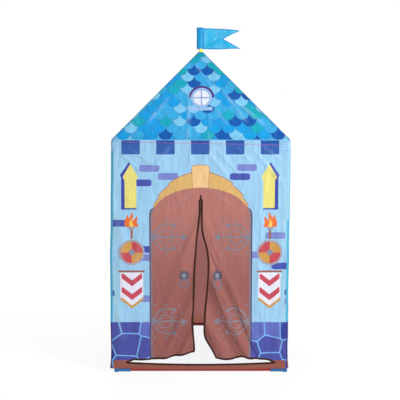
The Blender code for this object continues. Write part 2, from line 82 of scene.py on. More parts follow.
# %% Camera
camera_data = bpy.data.cameras.new("camera")
camera_data.sensor_width = 36
camera_data.lens = 67.8
camera = bpy.data.objects.new("camera", camera_data)
camera.location = (-3 * MM, -3.283, 1.004)
camera.rotation_euler = (radians(90 - 6), 0, 0)
bpy.context.scene.collection.objects.link(camera)
bpy.context.scene.camera = camera
bpy.context.scene.view_settings.view_transform = "Standard"


# %% One function for every shader node
def add(tree, kind, links=None, **settings):
    """Adds one shader node. links gives its inputs, as values or as other nodes' outputs."""
    made = tree.nodes.new("ShaderNode" + kind)
    for name, value in settings.items():
        setattr(made, name, value)
    for place, value in (links or {}).items():
        if isinstance(value, bpy.types.NodeSocket):
            tree.links.new(value, made.inputs[place])
        else:
            made.inputs[place].default_value = value
    return made


def ink(code):
    """An sRGB hex colour as the linear values that shaders use."""
    parts = [int(code[i : i + 2], 16) / 255 for i in (1, 3, 5)]
    return (*[p / 12.92 if p <= 0.04045 else ((p + 0.055) / 1.055) ** 2.4 for p in parts], 1)


def blank_material(name):
    made = bpy.data.materials.new(name)
    made.use_nodes = True
    made.node_tree.nodes.clear()
    return made, made.node_tree


# %% [markdown]
# A white background could be had by pouring in more light, but that would bleach the tent. Here the
# floor and the world only look white: a ray from the camera, or one that comes by way of a mirror
# or glass, sees plain white, and every other ray sees a modest grey.


# %% White for the camera alone
def white_to_camera(tree, share):
    """The share of plain white for what the camera and mirrors see, and none for the light on things."""
    path = add(tree, "LightPath")
    seen = path.outputs["Is Camera Ray"]
    for ray in ("Is Glossy Ray", "Is Transmission Ray"):
        seen = add(tree, "Math", {0: seen, 1: path.outputs[ray]}, operation="MAXIMUM").outputs[0]
    return add(tree, "Math", {0: seen, 1: share}, operation="MULTIPLY").outputs[0]


# %% Floor
# Matt painted board: it has no gloss, keeps the tent's soft shadow, and is full white from 2.6 m out
floor_finish, tree = blank_material("pale_studio_floor")
matt = add(tree, "BsdfDiffuse", {"Color": ink("#F2F2F2")})
glow = add(tree, "Emission", {"Color": (1, 1, 1, 1), "Strength": 1.0})
away = add(tree, "VectorMath", {0: add(tree, "TexCoord").outputs["Object"]}, operation="LENGTH")
whiter = add(tree, "MapRange", {"Value": away.outputs["Value"], "From Min": 1.0, "From Max": 2.6,
                                "To Min": 0.86, "To Max": 1.0})
seen_white = white_to_camera(tree, whiter.outputs[0])
mixed = add(tree, "MixShader", {0: seen_white, 1: matt.outputs[0], 2: glow.outputs[0]})
add(tree, "OutputMaterial", {0: mixed.outputs[0]})
bpy.ops.object.select_all(action="DESELECT")
bpy.ops.mesh.primitive_plane_add(size=30, location=(0, 0, -0.5 * MM))
floor = bpy.context.object
floor.name = "studio_floor"
floor.data.materials.append(floor_finish)
print("floor:", len(floor.data.polygons), "face")

# %% World
world = bpy.data.worlds.new("studio")
bpy.context.scene.world = world
world.use_nodes = True
tree = world.node_tree
tree.nodes.clear()
level = add(tree, "MapRange", {"Value": white_to_camera(tree, 1.0), "To Min": 0.43, "To Max": 1.0})
sky = add(tree, "Background", {"Color": (1, 1, 1, 1), "Strength": level.outputs[0]})
add(tree, "OutputWorld", {0: sky.outputs[0]})

# %% Lamps: place and size in metres, power in watts
LAMPS_AIM = Vector((0, 0, 0.7))
for name, place, size, power in (
    ("key", (2.6, -2.4, 2.3), 0.8, 152),
    ("fill", (-2.6, -3.0, 1.4), 2.2, 38),
    ("back", (-0.6, 2.8, 1.6), 2.0, 105),
):
    lamp = bpy.data.lights.new(name, "AREA")
    lamp.energy = power
    lamp.size = size
    lamp_object = bpy.data.objects.new(name, lamp)
    lamp_object.location = place
    aim = LAMPS_AIM - Vector(place)
    lamp_object.rotation_euler = aim.to_track_quat("-Z", "Y").to_euler()
    bpy.context.scene.collection.objects.link(lamp_object)
print("lamps:", len(bpy.data.lights))

# %% [markdown]
# ## The prints
#
# The cover is printed in flat inks, one over the other, like a screen print. Each ink here is a
# distance field: for every point of the cloth, how far it is from the edge of the inked shape,
# negative inside. The field is stored on the mesh, and the shader cuts it at zero, which gives a
# crisp edge on a plain mesh. Thin lines are cut on both sides of zero instead.


# %% Distance fields
def block(x, z, centre, half, rounding=0.0):
    """A box with rounded corners."""
    across = np.abs(x - centre[0]) - half[0] + rounding
    up = np.abs(z - centre[1]) - half[1] + rounding
    outside = np.hypot(np.maximum(across, 0), np.maximum(up, 0))
    return outside + np.minimum(np.maximum(across, up), 0) - rounding


def disc(x, z, centre, radius):
    """A round spot."""
    return np.hypot(x - centre[0], z - centre[1]) - radius


def either(*fields):
    """Inked where any one of the shapes is."""
    return np.minimum.reduce(fields)


def both(*fields):
    """Inked only where all the shapes are."""
    return np.maximum.reduce(np.broadcast_arrays(*fields))


def smooth_step(values):
    """An even rise from 0 to 1, flat at both ends."""
    held = np.clip(values, 0, 1)
    return held * held * (3 - 2 * held)


print("middle of a 10 mm spot:", disc(0, 0, (0, 0), 10 * MM))


# %% [markdown]
# The front is a castle gate: a pointed window on each side, an arch of cut stones over a plank
# door with iron straps and ring handles, and a plinth of rough stones. Between window and plinth
# hangs a torch, a round quartered shield and a striped banner. The places of all these are written
# down first, as lengths from the middle of the wall and from the floor.

# %% Places in the front print, in millimetres
MERLON = {"pitch": 135.5 * MM, "half": 36 * MM, "foot": 874 * MM, "band": 916.5 * MM, "shift": -2 * MM}
PLINTH_TOP = 207 * MM
FOOT_TOP = 51 * MM
DOOR = {"spring": 629 * MM, "wide": 192 * MM, "rise": 115 * MM}
ARCH = {"wide": 193 * MM, "rise": 184 * MM, "foot": 664 * MM, "stones": 9, "step": 7 * MM, "point": 1.75}
JAMB = 5.5 * MM
KEY = {"foot": 741 * MM, "top": 833 * MM, "half": 31 * MM, "flare": 0.05, "dome": 9 * MM}
WINDOW = {"x": 271 * MM, "foot": 664 * MM, "neck": 772 * MM, "tip": 837 * MM, "half": 23 * MM,
          "head": 30 * MM, "flare": 14 * MM}
STRAPS = (549 * MM, 211 * MM)
HANDLE = (66 * MM, 396 * MM)
MOTIF_X = 272 * MM
BRICKS = {
    "brick_pale": [(-201, 819.5), (-128.5, 788), (179.5, 822.5), (-220, 467), (-220, 302), (236, 478),
                   (294, 555), (373, 290)],
    "brick_navy": [(-232, 763), (153, 787.5), (-309, 604), (-226, 500), (318, 434), (-373, 324), (373, 328)],
}
BRICK_HALF = (39.5 * MM, 13.3 * MM)
BRICK_ROUNDING = 8 * MM
print("door", round(2 * DOOR["wide"], 3), "wide, arch", round(2 * ARCH["wide"], 3), "wide")

# %% [markdown]
# ### Shapes that come back
#
# Windows, bricks and the squares under the eaves repeat round the tent, so each is written once as
# a field. A pattern that goes on sideways needs no list of places: the remainder of a division
# brings every point back to one square.


# %% Window, flame and squares
def pointed_window(x, z, grow=0.0):
    """A window with a head like an arrow's: wider than the light below it."""
    flared = np.clip((z - WINDOW["neck"]) / WINDOW["flare"], 0, 1)
    light = WINDOW["half"] + flared * (WINDOW["head"] - WINDOW["half"])
    side = WINDOW["head"] * (WINDOW["tip"] - z) / (WINDOW["tip"] - WINDOW["neck"] - WINDOW["flare"])
    return both(np.abs(x) - np.minimum(side, light) - grow, WINDOW["foot"] - grow - z)


def tongue(x, z, middle, foot, radius, tip):
    """A flame: round below, drawn out to a bending tip above."""
    share = np.clip((z - foot) / (tip - foot), 0, 1)
    bend = middle * (1 + 0.5 * share) + 3 * MM * np.sin(5 * share)
    drawn = np.abs(x - bend) - radius * (1 - share) ** 0.8
    return np.where(z > foot, both(drawn, z - tip), disc(x, z, (middle, foot), radius))


def merlons(x, z, shift):
    """The row of squares under the eaves."""
    from_middle = (x - shift + MERLON["pitch"] / 2) % MERLON["pitch"] - MERLON["pitch"] / 2
    return both(np.abs(from_middle) - MERLON["half"], MERLON["foot"] - z)


# %% What every side carries
def wall_common(x, z, shift, bricks):
    """What every side carries: squares under the eaves, loose bricks, plinth and edges."""
    squares = merlons(x, z, shift)
    inks = {
        "merlon": squares,
        "merlon_top": both(squares, MERLON["band"] - z),
        "plinth": z - PLINTH_TOP,
        "edge": both(HALF - 10 * MM - np.abs(x), PLINTH_TOP - z),
        "edge_foot": both(HALF - 6 * MM - np.abs(x), z - PLINTH_TOP),
    }
    for name, places in bricks.items():
        spots = [block(x, z, (px * MM, pz * MM), BRICK_HALF, BRICK_ROUNDING) for px, pz in places]
        inks[name] = either(*spots)
    return inks


# %% [markdown]
# ### The gate's windows
#
# Each window is a yellow light with a navy shadow on the side away from the door and a sill below,
# which makes the flat print look deep. The shadow is the same shape again, moved sideways, so that
# it follows the window when that is moved.


# %% The gate's windows
def window_inks(x, z):
    from_window = np.abs(x + 4 * MM) - WINDOW["x"]
    into_head = np.clip((z - WINDOW["neck"]) / (WINDOW["tip"] - WINDOW["neck"]), 0, 1)
    beside = from_window - 13 * MM + 8 * MM * into_head
    head = pointed_window(beside, z - 8 * MM)
    reveal = np.where(z > WINDOW["neck"], head, np.abs(beside) - WINDOW["half"])
    sill = both(np.abs(from_window - 7 * MM) - 30 * MM, z - WINDOW["foot"] - 2 * MM)
    return {
        "window": pointed_window(from_window, z),
        "reveal": both(either(reveal, sill), WINDOW["foot"] - 6 * MM - z),
    }


# %% [markdown]
# ### Door and arch
#
# The door is a half ellipse on two straight sides, with two thin strips of jamb round its lower
# part. Eight stones and a keystone ring it. The stones could be drawn one by one, but a ring whose
# outer rim steps in and out once per stone gives the same saw-toothed edge in one line.


# %% Door and jamb
def door_inks(x, z):
    inks = {}
    ax = np.abs(x)
    up = np.maximum(z - DOOR["spring"], 0)
    lined = np.clip((ARCH["foot"] + 5 * MM - z) / (10 * MM), 0, 1)
    for layer, strips in (("jamb", 2), ("jamb_iron", 1), ("door", 0)):
        grow = strips * JAMB * lined
        outline = np.hypot(ax / (DOOR["wide"] + grow), up / (DOOR["rise"] + grow)) - 1
        inks[layer] = both(outline * DOOR["wide"], FOOT_TOP - z)
    return inks


# %% The stone arch
def arch_inks(x, z):
    """Nine parts round a half circle. The keystone hides the middle one, and share counts from it."""
    inks = {}
    ax = np.abs(x)
    up = np.maximum(z - DOOR["spring"], 0)
    turn = np.arctan2(up / DOOR["rise"], ax / DOOR["wide"])
    share = np.maximum((pi / 2 - turn) / (pi / ARCH["stones"]), 0.52)
    step = ARCH["step"] * ((share - 0.5) % 1 - 0.5)
    reach = (ax / ARCH["wide"]) ** ARCH["point"] + (up / ARCH["rise"]) ** ARCH["point"]
    ring = (reach ** (1 / ARCH["point"]) - 1) * ARCH["rise"] - step
    inks["arch"] = both(ring, ARCH["foot"] - z)
    inks["arch_line"] = inks["arch"]
    inks["arch_joint"] = np.where(share < 1, 1.0, np.cos(pi * share) * DOOR["wide"] / ARCH["stones"])
    from_key = np.abs(x + 1 * MM)
    domed = z - KEY["top"] + KEY["dome"] * (from_key / (35 * MM)) ** 4
    flank = from_key - KEY["half"] - KEY["flare"] * (z - KEY["foot"])
    inks["key"] = both(flank, domed, KEY["foot"] - z)
    inks["key_line"] = inks["key"]
    return inks


# %% [markdown]
# ### Ironwork
#
# Two straps hold each door leaf. A strap is a bar with a leaf-shaped end, two rings round it that
# end in curls, and studs strewn between them, all printed in one grey. Only one quarter is drawn:
# absolute values of the place give the mirrored ones.


# %% Straps, studs and handles
STRAP = {"half": 3.2 * MM, "from": 62 * MM, "to": 193 * MM, "widens": 170 * MM, "flare": 0.6}
STUD = 4.2 * MM
STUDS = ((90, 17), (112, 14), (113, 31), (139, 39), (158, 14), (88, 62), (136, 68), (182, 64), (72, 34))


def iron_inks(x, z):
    inks = {}
    ax = np.abs(x)
    near = np.where(z > sum(STRAPS) / 2, z - STRAPS[0], z - STRAPS[1])
    inks["scroll"] = disc(ax, near, (132 * MM, 0), 52 * MM)
    inks["scroll_zone"] = 106 * MM - ax
    inks["scroll_inner"] = disc(ax, near, (142 * MM, 0), 27 * MM)
    thick = STRAP["half"] + STRAP["flare"] * np.maximum(ax - STRAP["widens"], 0)
    strap = both(np.abs(near) - thick, STRAP["from"] - ax, ax - STRAP["to"])
    curls = [disc(ax, near, (105 * MM, sign * 45 * MM), 7.5 * MM) for sign in (-1, 1)]
    leaf = [disc(ax, near, (60 * MM, 0), 6.5 * MM), disc(ax, np.abs(near), (69 * MM, 9 * MM), 5.5 * MM)]
    studs = [disc(ax, np.abs(near), (px * MM, pz * MM), STUD) for px, pz in STUDS]
    inks["iron"] = either(strap, *curls, *leaf, *studs)
    inks["plate"] = disc(ax, z, HANDLE, 20 * MM)
    inks["plate_light"] = disc(ax, z, HANDLE, 9 * MM)
    inks["handle"] = disc(ax, z, (HANDLE[0], HANDLE[1] - 33 * MM), 17 * MM)
    return inks


# %% [markdown]
# ### Torch, shield and banner
#
# These hang in a column between each window and the plinth. The torch is a rod, a cup and three
# tongues of flame, the shield a disc in four quarters, and the banner a striped strip that ends in a
# point. Quarters need no lines: the product of the two distances changes its sign at each.


# %% Torch, shield and banner
TORCH = {"rod": 564 * MM, "cup": 583 * MM, "fire": 594 * MM, "lit": 589 * MM}
TIPS = ((-1, 634 * MM), (0, 652 * MM), (1, 640 * MM))
SHIELD = {"z": 488 * MM, "rim": 51 * MM, "field": 43 * MM, "boss": 12 * MM}
BANNER = {"rod": 412 * MM, "top": 408 * MM, "tip": 262 * MM, "half": 44 * MM, "slant": 0.8, "pitch": 56 * MM,
          "fringe": 12 * MM}


def motif_inks(x, z):
    inks = {}
    m = np.abs(x) - MOTIF_X
    rod = block(m, z, (0, BANNER["rod"]), (51 * MM, 4 * MM), 4 * MM)
    inks["pole"] = either(block(m, z, (0, TORCH["rod"]), (4.5 * MM, 22 * MM)), rod)
    cup = np.abs(m) - 8 * MM - 0.5 * (z - TORCH["cup"] + 7 * MM)
    inks["torch_cup"] = both(cup, np.abs(z - TORCH["cup"]) - 6 * MM)
    tongues = [tongue(m, z, lean * 13 * MM, TORCH["fire"], 13 * MM, tip) for lean, tip in TIPS]
    core = tongue(m, z, 0, TORCH["fire"], 8 * MM, 628 * MM)
    inks["torch_fire"] = both(either(*tongues), TORCH["lit"] - z)
    inks["torch_core"] = both(core, TORCH["lit"] - z)
    for layer, radius in (("steel", "rim"), ("shield_red", "field"), ("boss", "boss")):
        inks[layer] = disc(m, z, (0, SHIELD["z"]), SHIELD[radius])
    inks["gold"] = both(inks["shield_red"], -m * (z - SHIELD["z"]) / (20 * MM))
    hanging = z - BANNER["slant"] * np.abs(m)
    cloth = both(np.abs(m) - BANNER["half"], z - BANNER["top"], BANNER["tip"] - hanging)
    stripe = np.abs(hanging % BANNER["pitch"] - BANNER["pitch"] / 2) - 12 * MM
    inks["banner"] = cloth
    inks["banner_red"] = both(cloth + 4 * MM, stripe)
    inks["fringe"] = both(cloth, hanging - BANNER["tip"] - BANNER["fringe"])
    return inks


# %% The whole gate
def gate_print(x, z):
    inks = wall_common(x, z, MERLON["shift"], BRICKS)
    # On the right the edge ink stops 620 mm up, so that the plain wall colour above it stands for a painted
    # highlight on the curved corner.
    inks["edge"] = both(inks["edge"], np.where(x > 0, z - 620 * MM, -1))
    for part in (window_inks, door_inks, arch_inks, iron_inks, motif_inks):
        inks.update(part(x, z))
    inks["foot"] = both(z - FOOT_TOP, np.abs(x) - (HALF - 12 * MM))
    return inks


print("the gate has", len(gate_print(np.zeros(1), np.zeros(1))), "fields")

# %% [markdown]
# ### The sides
#
# The sides, which the gate leaves plain, get the same wall with two pointed windows and a tall
# latticed window between them. The lattice is two sets of lines, kept inside the window by a
# factor that takes all points outside it far away from any line.

# %% The sides' inks
SIDE_BRICKS = {
    "brick_pale": [(-160, 640), (196, 560), (-244, 452), (118, 300), (-60, 268), (286, 350), (-290, 590),
                   (20, 842)],
    "brick_navy": [(-192, 336), (236, 448), (-112, 818), (150, 806), (-300, 250), (170, 622)],
}
TALL = {"half": 58 * MM, "foot": 420 * MM, "spring": 640 * MM, "frame": 9 * MM}
PANE = (38.6 * MM, 44 * MM)


def side_print(s, z):
    inks = wall_common(s, z, 0.0, SIDE_BRICKS)
    head = disc(s, z, (0, TALL["spring"]), TALL["half"])
    tall = both(np.where(z > TALL["spring"], head, np.abs(s) - TALL["half"]), TALL["foot"] - z)
    inks["window"] = either(pointed_window(np.abs(s) - WINDOW["x"] + 24 * MM, z), tall)
    reveal = pointed_window(np.abs(s) - WINDOW["x"] + 16 * MM, z, 2 * MM)
    inks["reveal"] = either(reveal, tall - TALL["frame"])
    lines = [np.abs(value % pane - pane / 2) for value, pane in zip((s, z), PANE)]
    inks["lattice"] = either(*lines) * np.where(tall < 0, 1, 9)
    inks["foot"] = z - FOOT_TOP
    return inks


# %% [markdown]
# ## Printed taffeta
#
# The cloth is polyester taffeta: smooth filament yarn, plainly woven, dyed and printed. To the eye
# that is flat colour with a faint broad gloss, no grain, and a glow where light comes through it.
# It could be one picture wrapped round the tent. Inks laid over each other in the shader were
# chosen, because they stay crisp at any distance, and each keeps a colour that can be changed.

# %% The inks, from the bottom one up: name, colour, and for a line its half width and its zone
INKS = [
    ("brick_pale", "#7F88CA"), ("brick_navy", "#4752AC"),
    ("reveal", "#3A44A4"), ("window", "#EEE07C"), ("lattice", "#3A44A4", 1.6 * MM, "window"),
    ("merlon", "#305EAA"), ("merlon_top", "#1A54A6"),
    ("pole", "#A0604C"), ("torch_fire", "#EE7434"), ("torch_core", "#F8C860"), ("torch_cup", "#9C9CAE"),
    ("steel", "#A6A6B4"), ("shield_red", "#CC4A54"), ("gold", "#D49C4C"), ("boss", "#8E8EA2"),
    ("banner", "#ECE9F2"), ("banner_red", "#CC4A5A"), ("fringe", "#D49C4C"),
    ("arch", "#E2B46C"), ("arch_joint", "#CC9858", 1.2 * MM, "arch"), ("arch_line", "#A06A6C", 1.3 * MM),
    ("key", "#F4C88C"), ("key_line", "#C0824E", 1.2 * MM),
    ("jamb", "#604A6E"), ("jamb_iron", "#82808A"), ("door", None),
    ("scroll", "#86828C", 3.0 * MM, "scroll_zone"), ("scroll_inner", "#86828C", 1.8 * MM, "scroll_zone"),
    ("iron", "#86828C"),
    ("plate", "#5E5868"), ("plate_light", "#8F8C9C"), ("handle", "#77717F", 2.6 * MM),
    ("edge", "#45B0D4"), ("edge_foot", "#2C2A78"), ("foot", "#9E5B4B"),
]
PRINT_SOFTNESS = 0.5 * MM
print("inks:", len(INKS))

# %% [markdown]
# ### Weave, creases and glow
#
# All cloth of the tent shares one finish. The real threads lie about 0.1 mm apart and vanish at
# arm's length, so the weave is drawn some twenty times coarser, or it wouldn't show at all. Below
# it lies a stretched noise, whose swells of 2 by 7 cm are the soft creases that packing leaves. The
# cloth's gloss comes from a principled shader and the glow from a translucent one.


# %% The finish of woven cloth
BANDS = 20 / (2 * pi)  # what a wave texture of scale 1 draws in a metre
THREADS = 2.17 * MM
CREASES = (46, 15, 1)  # a metre holds so many, across and along


def finish_cloth(tree, colour, roughness, through, light=None, threads=THREADS):
    """Weave, soft packing creases, sheen and the light that comes through."""
    place = add(tree, "TexCoord").outputs["UV"]
    waves = []
    for direction in ("X", "Y"):
        spaced = {"Vector": place, "Scale": 1 / (threads * BANDS)}
        waves.append(add(tree, "TexWave", spaced, bands_direction=direction).outputs["Fac"])
    woven = add(tree, "Math", {0: waves[0], 1: waves[1]}, operation="MULTIPLY")
    turned = add(tree, "Mapping", {"Vector": place, "Rotation": (0, 0, radians(24)), "Scale": CREASES})
    folds = add(tree, "TexNoise", {"Vector": turned.outputs[0], "Scale": 1.0, "Detail": 4, "Roughness": 0.55})
    low = add(tree, "Bump", {"Height": folds.outputs["Fac"], "Strength": 0.9, "Distance": 6 * MM})
    fine = add(tree, "Bump", {"Height": woven.outputs[0], "Strength": 0.22, "Distance": 0.15 * MM,
                              "Normal": low.outputs[0]})
    shell = add(tree, "BsdfPrincipled", {"Base Color": colour, "Roughness": roughness, "Sheen Weight": 0.03,
                                         "Specular IOR Level": 0.25, "Normal": fine.outputs[0]})
    beyond = add(tree, "BsdfTranslucent", {"Color": light or colour, "Normal": fine.outputs[0]})
    mixed = add(tree, "MixShader", {0: through, 1: shell.outputs[0], 2: beyond.outputs[0]})
    add(tree, "OutputMaterial", {0: mixed.outputs[0]})


# %% Painted sheen in strokes, and an ink's edge
SHEEN_STROKES = (60, 9, 1)  # a metre holds so many, across and along


def sheen_streaks(tree, colour, amount):
    """Long uneven strokes, lighter and darker: a painted streaky sheen on the cloth."""
    place = add(tree, "TexCoord").outputs["UV"]
    drawn = add(tree, "Mapping", {"Vector": place, "Rotation": (0, 0, radians(8)), "Scale": SHEEN_STROKES})
    strokes = add(tree, "TexNoise", {"Vector": drawn.outputs[0], "Scale": 1.0, "Detail": 5, "Roughness": 0.6})
    value = add(tree, "MapRange", {"Value": strokes.outputs["Fac"], "From Min": 0.3, "From Max": 0.7,
                                   "To Min": 1 - amount, "To Max": 1 + amount})
    return add(tree, "HueSaturation", {"Color": colour, "Value": value.outputs[0]}).outputs[0]


def cut(tree, name, line=None):
    """How much of one ink lies on the cloth, from its distance field."""
    field = add(tree, "Attribute", attribute_name=name).outputs["Fac"]
    if line:
        far = add(tree, "Math", {0: field}, operation="ABSOLUTE")
        field = add(tree, "Math", {0: far.outputs[0], 1: line}, operation="SUBTRACT").outputs[0]
    return add(tree, "MapRange", {"Value": field, "From Min": -PRINT_SOFTNESS, "From Max": PRINT_SOFTNESS,
                                  "To Min": 1.0, "To Max": 0.0}).outputs[0]


# %% [markdown]
# ### The wall's own patterns
#
# Three parts of the wall's colour aren't flat: the plinth of rough stones, the planks, which are
# darker towards the foot, and a thin magenta line below the eaves, a painted show-through of the
# red eave tube behind the cloth. Voronoi cells, 80 mm wide, were chosen for the stones, because
# each cell brings a random number for its tint, and the distance to its edge draws the mortar.


# %% Stones, planks and the painted tube line
STONE = 80 * MM
TUBE_LINE_SLOPE = 0.018


def rough_stones(tree, place):
    layout = {"Vector": place, "Scale": 1 / STONE, "Randomness": 0.7}
    cells = add(tree, "TexVoronoi", layout, voronoi_dimensions="2D")
    tint = add(tree, "SeparateColor", {0: cells.outputs["Color"]})
    stone = add(tree, "ValToRGB", {0: tint.outputs[0]})
    stone.color_ramp.interpolation = "CONSTANT"
    stone.color_ramp.elements[0].color = ink("#2F3D9A")
    stone.color_ramp.elements[1].position = 0.4
    stone.color_ramp.elements[1].color = ink("#4C52A6")
    stone.color_ramp.elements.new(0.8).color = ink("#6470C0")
    seams = add(tree, "TexVoronoi", layout, voronoi_dimensions="2D", feature="DISTANCE_TO_EDGE")
    mortar = add(tree, "MapRange", {"Value": seams.outputs["Distance"], "From Min": 0.022, "From Max": 0.034,
                                    "To Min": 1.0, "To Max": 0.0})
    shaded = sheen_streaks(tree, stone.outputs[0], 0.1)
    laid = add(tree, "Mix", {0: mortar.outputs[0], 6: shaded, 7: ink("#80BCF0")}, data_type="RGBA")
    return laid.outputs[2]


# The door's planks: lighter above, darker towards the foot.
def planks_darker_below(tree, up):
    low_tone_and_sheen = add(tree, "MapRange", {"Value": up, "From Min": 0.36, "From Max": 0.66,
                                  "To Min": 1.0, "To Max": 0.0})
    planks = add(tree, "Mix", {0: low_tone_and_sheen.outputs[0], 6: ink("#BA766B"), 7: ink("#9F6058")}, data_type="RGBA")
    return planks.outputs[2]


def tube_show_through_line(tree, along, up):
    """How much of the line shows: a line 2 mm wide that falls a little to one side, a painted show-through of
    the red eave tube.
    """
    tilted = add(tree, "Math", {0: along, 1: TUBE_LINE_SLOPE, 2: up}, operation="MULTIPLY_ADD")
    height = add(tree, "Math", {0: tilted.outputs[0], 1: MERLON["band"]}, operation="SUBTRACT")
    near = add(tree, "Math", {0: height.outputs[0]}, operation="ABSOLUTE")
    thread = add(tree, "MapRange", {"Value": near.outputs[0], "From Min": 0.7 * MM, "From Max": 1.5 * MM,
                                    "To Min": 0.55, "To Max": 0.0})
    return thread.outputs[0]


# %% Inks over each other
def layer_inks(tree, colour, planks, stones):
    """Lays each ink over those before it. The plinth comes in right above the loose bricks."""
    for layer, code, *line in INKS:
        share = cut(tree, layer, *line[:1])
        if len(line) > 1:
            zone = cut(tree, line[1])
            share = add(tree, "Math", {0: share, 1: zone}, operation="MULTIPLY").outputs[0]
        paint = ink(code) if code else planks
        colour = add(tree, "Mix", {0: share, 6: colour, 7: paint}, data_type="RGBA").outputs[2]
        if layer == "brick_navy":
            below = cut(tree, "plinth")
            colour = add(tree, "Mix", {0: below, 6: colour, 7: stones}, data_type="RGBA").outputs[2]
    return colour


def paint_sheen_and_pallor(tree, colour, sheen_colour, sheen_veil_and_pallor):
    """Paints a pale highlight where painted_sheen is set, and pales the rest by a share: a faint painted veil
    of sheen on the right side, the paler print on the wrong side.
    """
    painted_sheen = add(tree, "Attribute", attribute_name="painted_sheen").outputs["Fac"]
    colour = add(tree, "Mix", {0: painted_sheen, 6: colour, 7: ink(sheen_colour)}, data_type="RGBA").outputs[2]
    return add(tree, "Mix", {0: sheen_veil_and_pallor, 6: colour, 7: ink("#E8E8EC")}, data_type="RGBA").outputs[2]


# %% [markdown]
# ### Right side and wrong side
#
# The wall's cloth is printed on its right side only. From inside the tent the inks look a little
# paler, and daylight shines through them, so the wrong side is a finish of its own: more of it is
# translucent, and what comes through is hardly tinted.


# %% Wall cloth
def wall_cloth(name, sheen_veil_and_pallor, through, light=None):
    """Printed polyester taffeta. Seen straight on it is matt, with a dull sheen along its folds."""
    made, tree = blank_material(name)
    place = add(tree, "TexCoord").outputs["UV"]
    axes = add(tree, "SeparateXYZ", {0: place})
    along, up = axes.outputs["X"], axes.outputs["Y"]
    # Painted streaks of sheen go under the inks and over them.
    colour = sheen_streaks(tree, ink("#A0CEE9"), 0.07)
    colour = layer_inks(tree, colour, planks_darker_below(tree, up), rough_stones(tree, place))
    colour = sheen_streaks(tree, colour, 0.045)
    # The magenta line is the red eave tube showing through the cloth, painted into its colour.
    thread = tube_show_through_line(tree, along, up)
    colour = add(tree, "Mix", {0: thread, 6: colour, 7: ink("#C0489C")}, data_type="RGBA").outputs[2]
    finish_cloth(tree, paint_sheen_and_pallor(tree, colour, "#DCECF6", sheen_veil_and_pallor), 0.55, through, light)
    print(name, "has", len(tree.nodes), "nodes")
    return made


THROUGH = 0.42
THROUGH_BACK = 0.86
CLEAR = ink("#FCFCFD")
# The right side's 0.01 of pale is a faint painted veil of sheen; the wrong side's 0.2 is its paler print.
wall_finish = [
    wall_cloth("printed_taffeta_wall", 0.01, THROUGH),
    wall_cloth("taffeta_wall_wrong_side", 0.2, THROUGH_BACK, CLEAR),
]


# %% [markdown]
# ## Sheets of cloth
#
# Every sheet starts as a flat grid, whose points are then laid over the frame. Cloth could be left
# to fall in a simulation, but this cover is stretched over tubes and hardly moves, so a formula for
# its place is quicker and gives the same folds each time.


# %% Grids and their points
def grid(name, columns, rows, size=(1, 1), centre=(0, 0)):
    """A flat grid of cells, its points along X and Y."""
    bpy.ops.object.select_all(action="DESELECT")
    bpy.ops.mesh.primitive_grid_add(x_subdivisions=columns, y_subdivisions=rows, size=1)
    made = bpy.context.object
    made.name = made.data.name = name
    move_points(made, points(made) * (*size, 1) + (*centre, 0))
    return made


def points(obj):
    found = np.empty(len(obj.data.vertices) * 3)
    obj.data.vertices.foreach_get("co", found)
    return found.reshape(-1, 3)


def move_points(obj, places):
    obj.data.vertices.foreach_set("co", np.ascontiguousarray(places, dtype=np.float32).ravel())
    obj.data.update()


def select_only(obj):
    bpy.ops.object.select_all(action="DESELECT")
    obj.select_set(True)
    bpy.context.view_layer.objects.active = obj


# %% What a sheet carries: fields, a map, and its wrong side
def store(obj, name, values):
    """Keeps one number per point, for a shader to read."""
    made = obj.data.attributes.new(name, "FLOAT", "POINT")
    made.data.foreach_set("value", np.broadcast_to(values, len(obj.data.vertices)).astype(np.float32))


def flat_map(obj, across, up):
    """A UV map in metres, so that weave and stones keep their size."""
    layer = obj.data.uv_layers.active or obj.data.uv_layers.new(name="cut")
    corner = np.empty(len(obj.data.loops), dtype=int)
    obj.data.loops.foreach_get("vertex_index", corner)
    layer.data.foreach_set("uv", np.column_stack([across[corner], up[corner]]).ravel())


def print_on(obj, inks):
    for name in [row[0] for row in INKS] + ["plinth", "scroll_zone"]:
        store(obj, name, inks.get(name, 1.0))


def thicken(obj, thickness, finishes):
    """Gives a sheet its wrong side, which takes the second finish."""
    for finish in finishes:
        obj.data.materials.append(finish)
    bpy.context.view_layer.objects.active = obj
    shell = obj.modifiers.new("cloth", "SOLIDIFY")
    shell.thickness = thickness
    shell.offset = -1
    shell.material_offset = len(finishes) - 1
    bpy.ops.object.modifier_apply(modifier=shell.name)
    select_only(obj)
    bpy.ops.object.shade_smooth_by_angle(angle=radians(40))


# %% [markdown]
# ### Round the posts
#
# A wall goes flat between two posts and turns an eighth of a circle round each, where it meets its
# neighbour in a seam. One side is worked out, and quarter turns bring it to the others. Its surface
# isn't quite flat: noise gives the narrow creases from packing and the wide swells of slack cloth.


# %% Turns, creases and swells
def wrap(s, half, radius):
    """Along one side: flat, and round a post at each end. Gives the place and the way outwards."""
    flat = half - radius
    turn = np.clip((np.abs(s) - flat) / radius, 0, pi / 4)
    x = np.sign(s) * (np.minimum(np.abs(s), flat) + radius * np.sin(turn))
    y = -half + radius * (1 - np.cos(turn))
    return x, y, np.sign(s) * np.sin(turn), -np.cos(turn)


def quarter_turn(x, y, times):
    for _ in range(times):
        x, y = -y, x
    return x, y


def creases(u, v, size, seed):
    """Narrow soft ridges, from 0 to 1, like those that packing leaves."""
    found = [noise.noise((a / size, b / size, seed)) for a, b in zip(u, v)]
    return (1 - np.abs(found)) ** 7


def billow(u, v, size, seed):
    """Wide soft swells, from -1 to 1."""
    return np.array([noise.noise((a / size, b / size, seed)) for a, b in zip(u, v)])


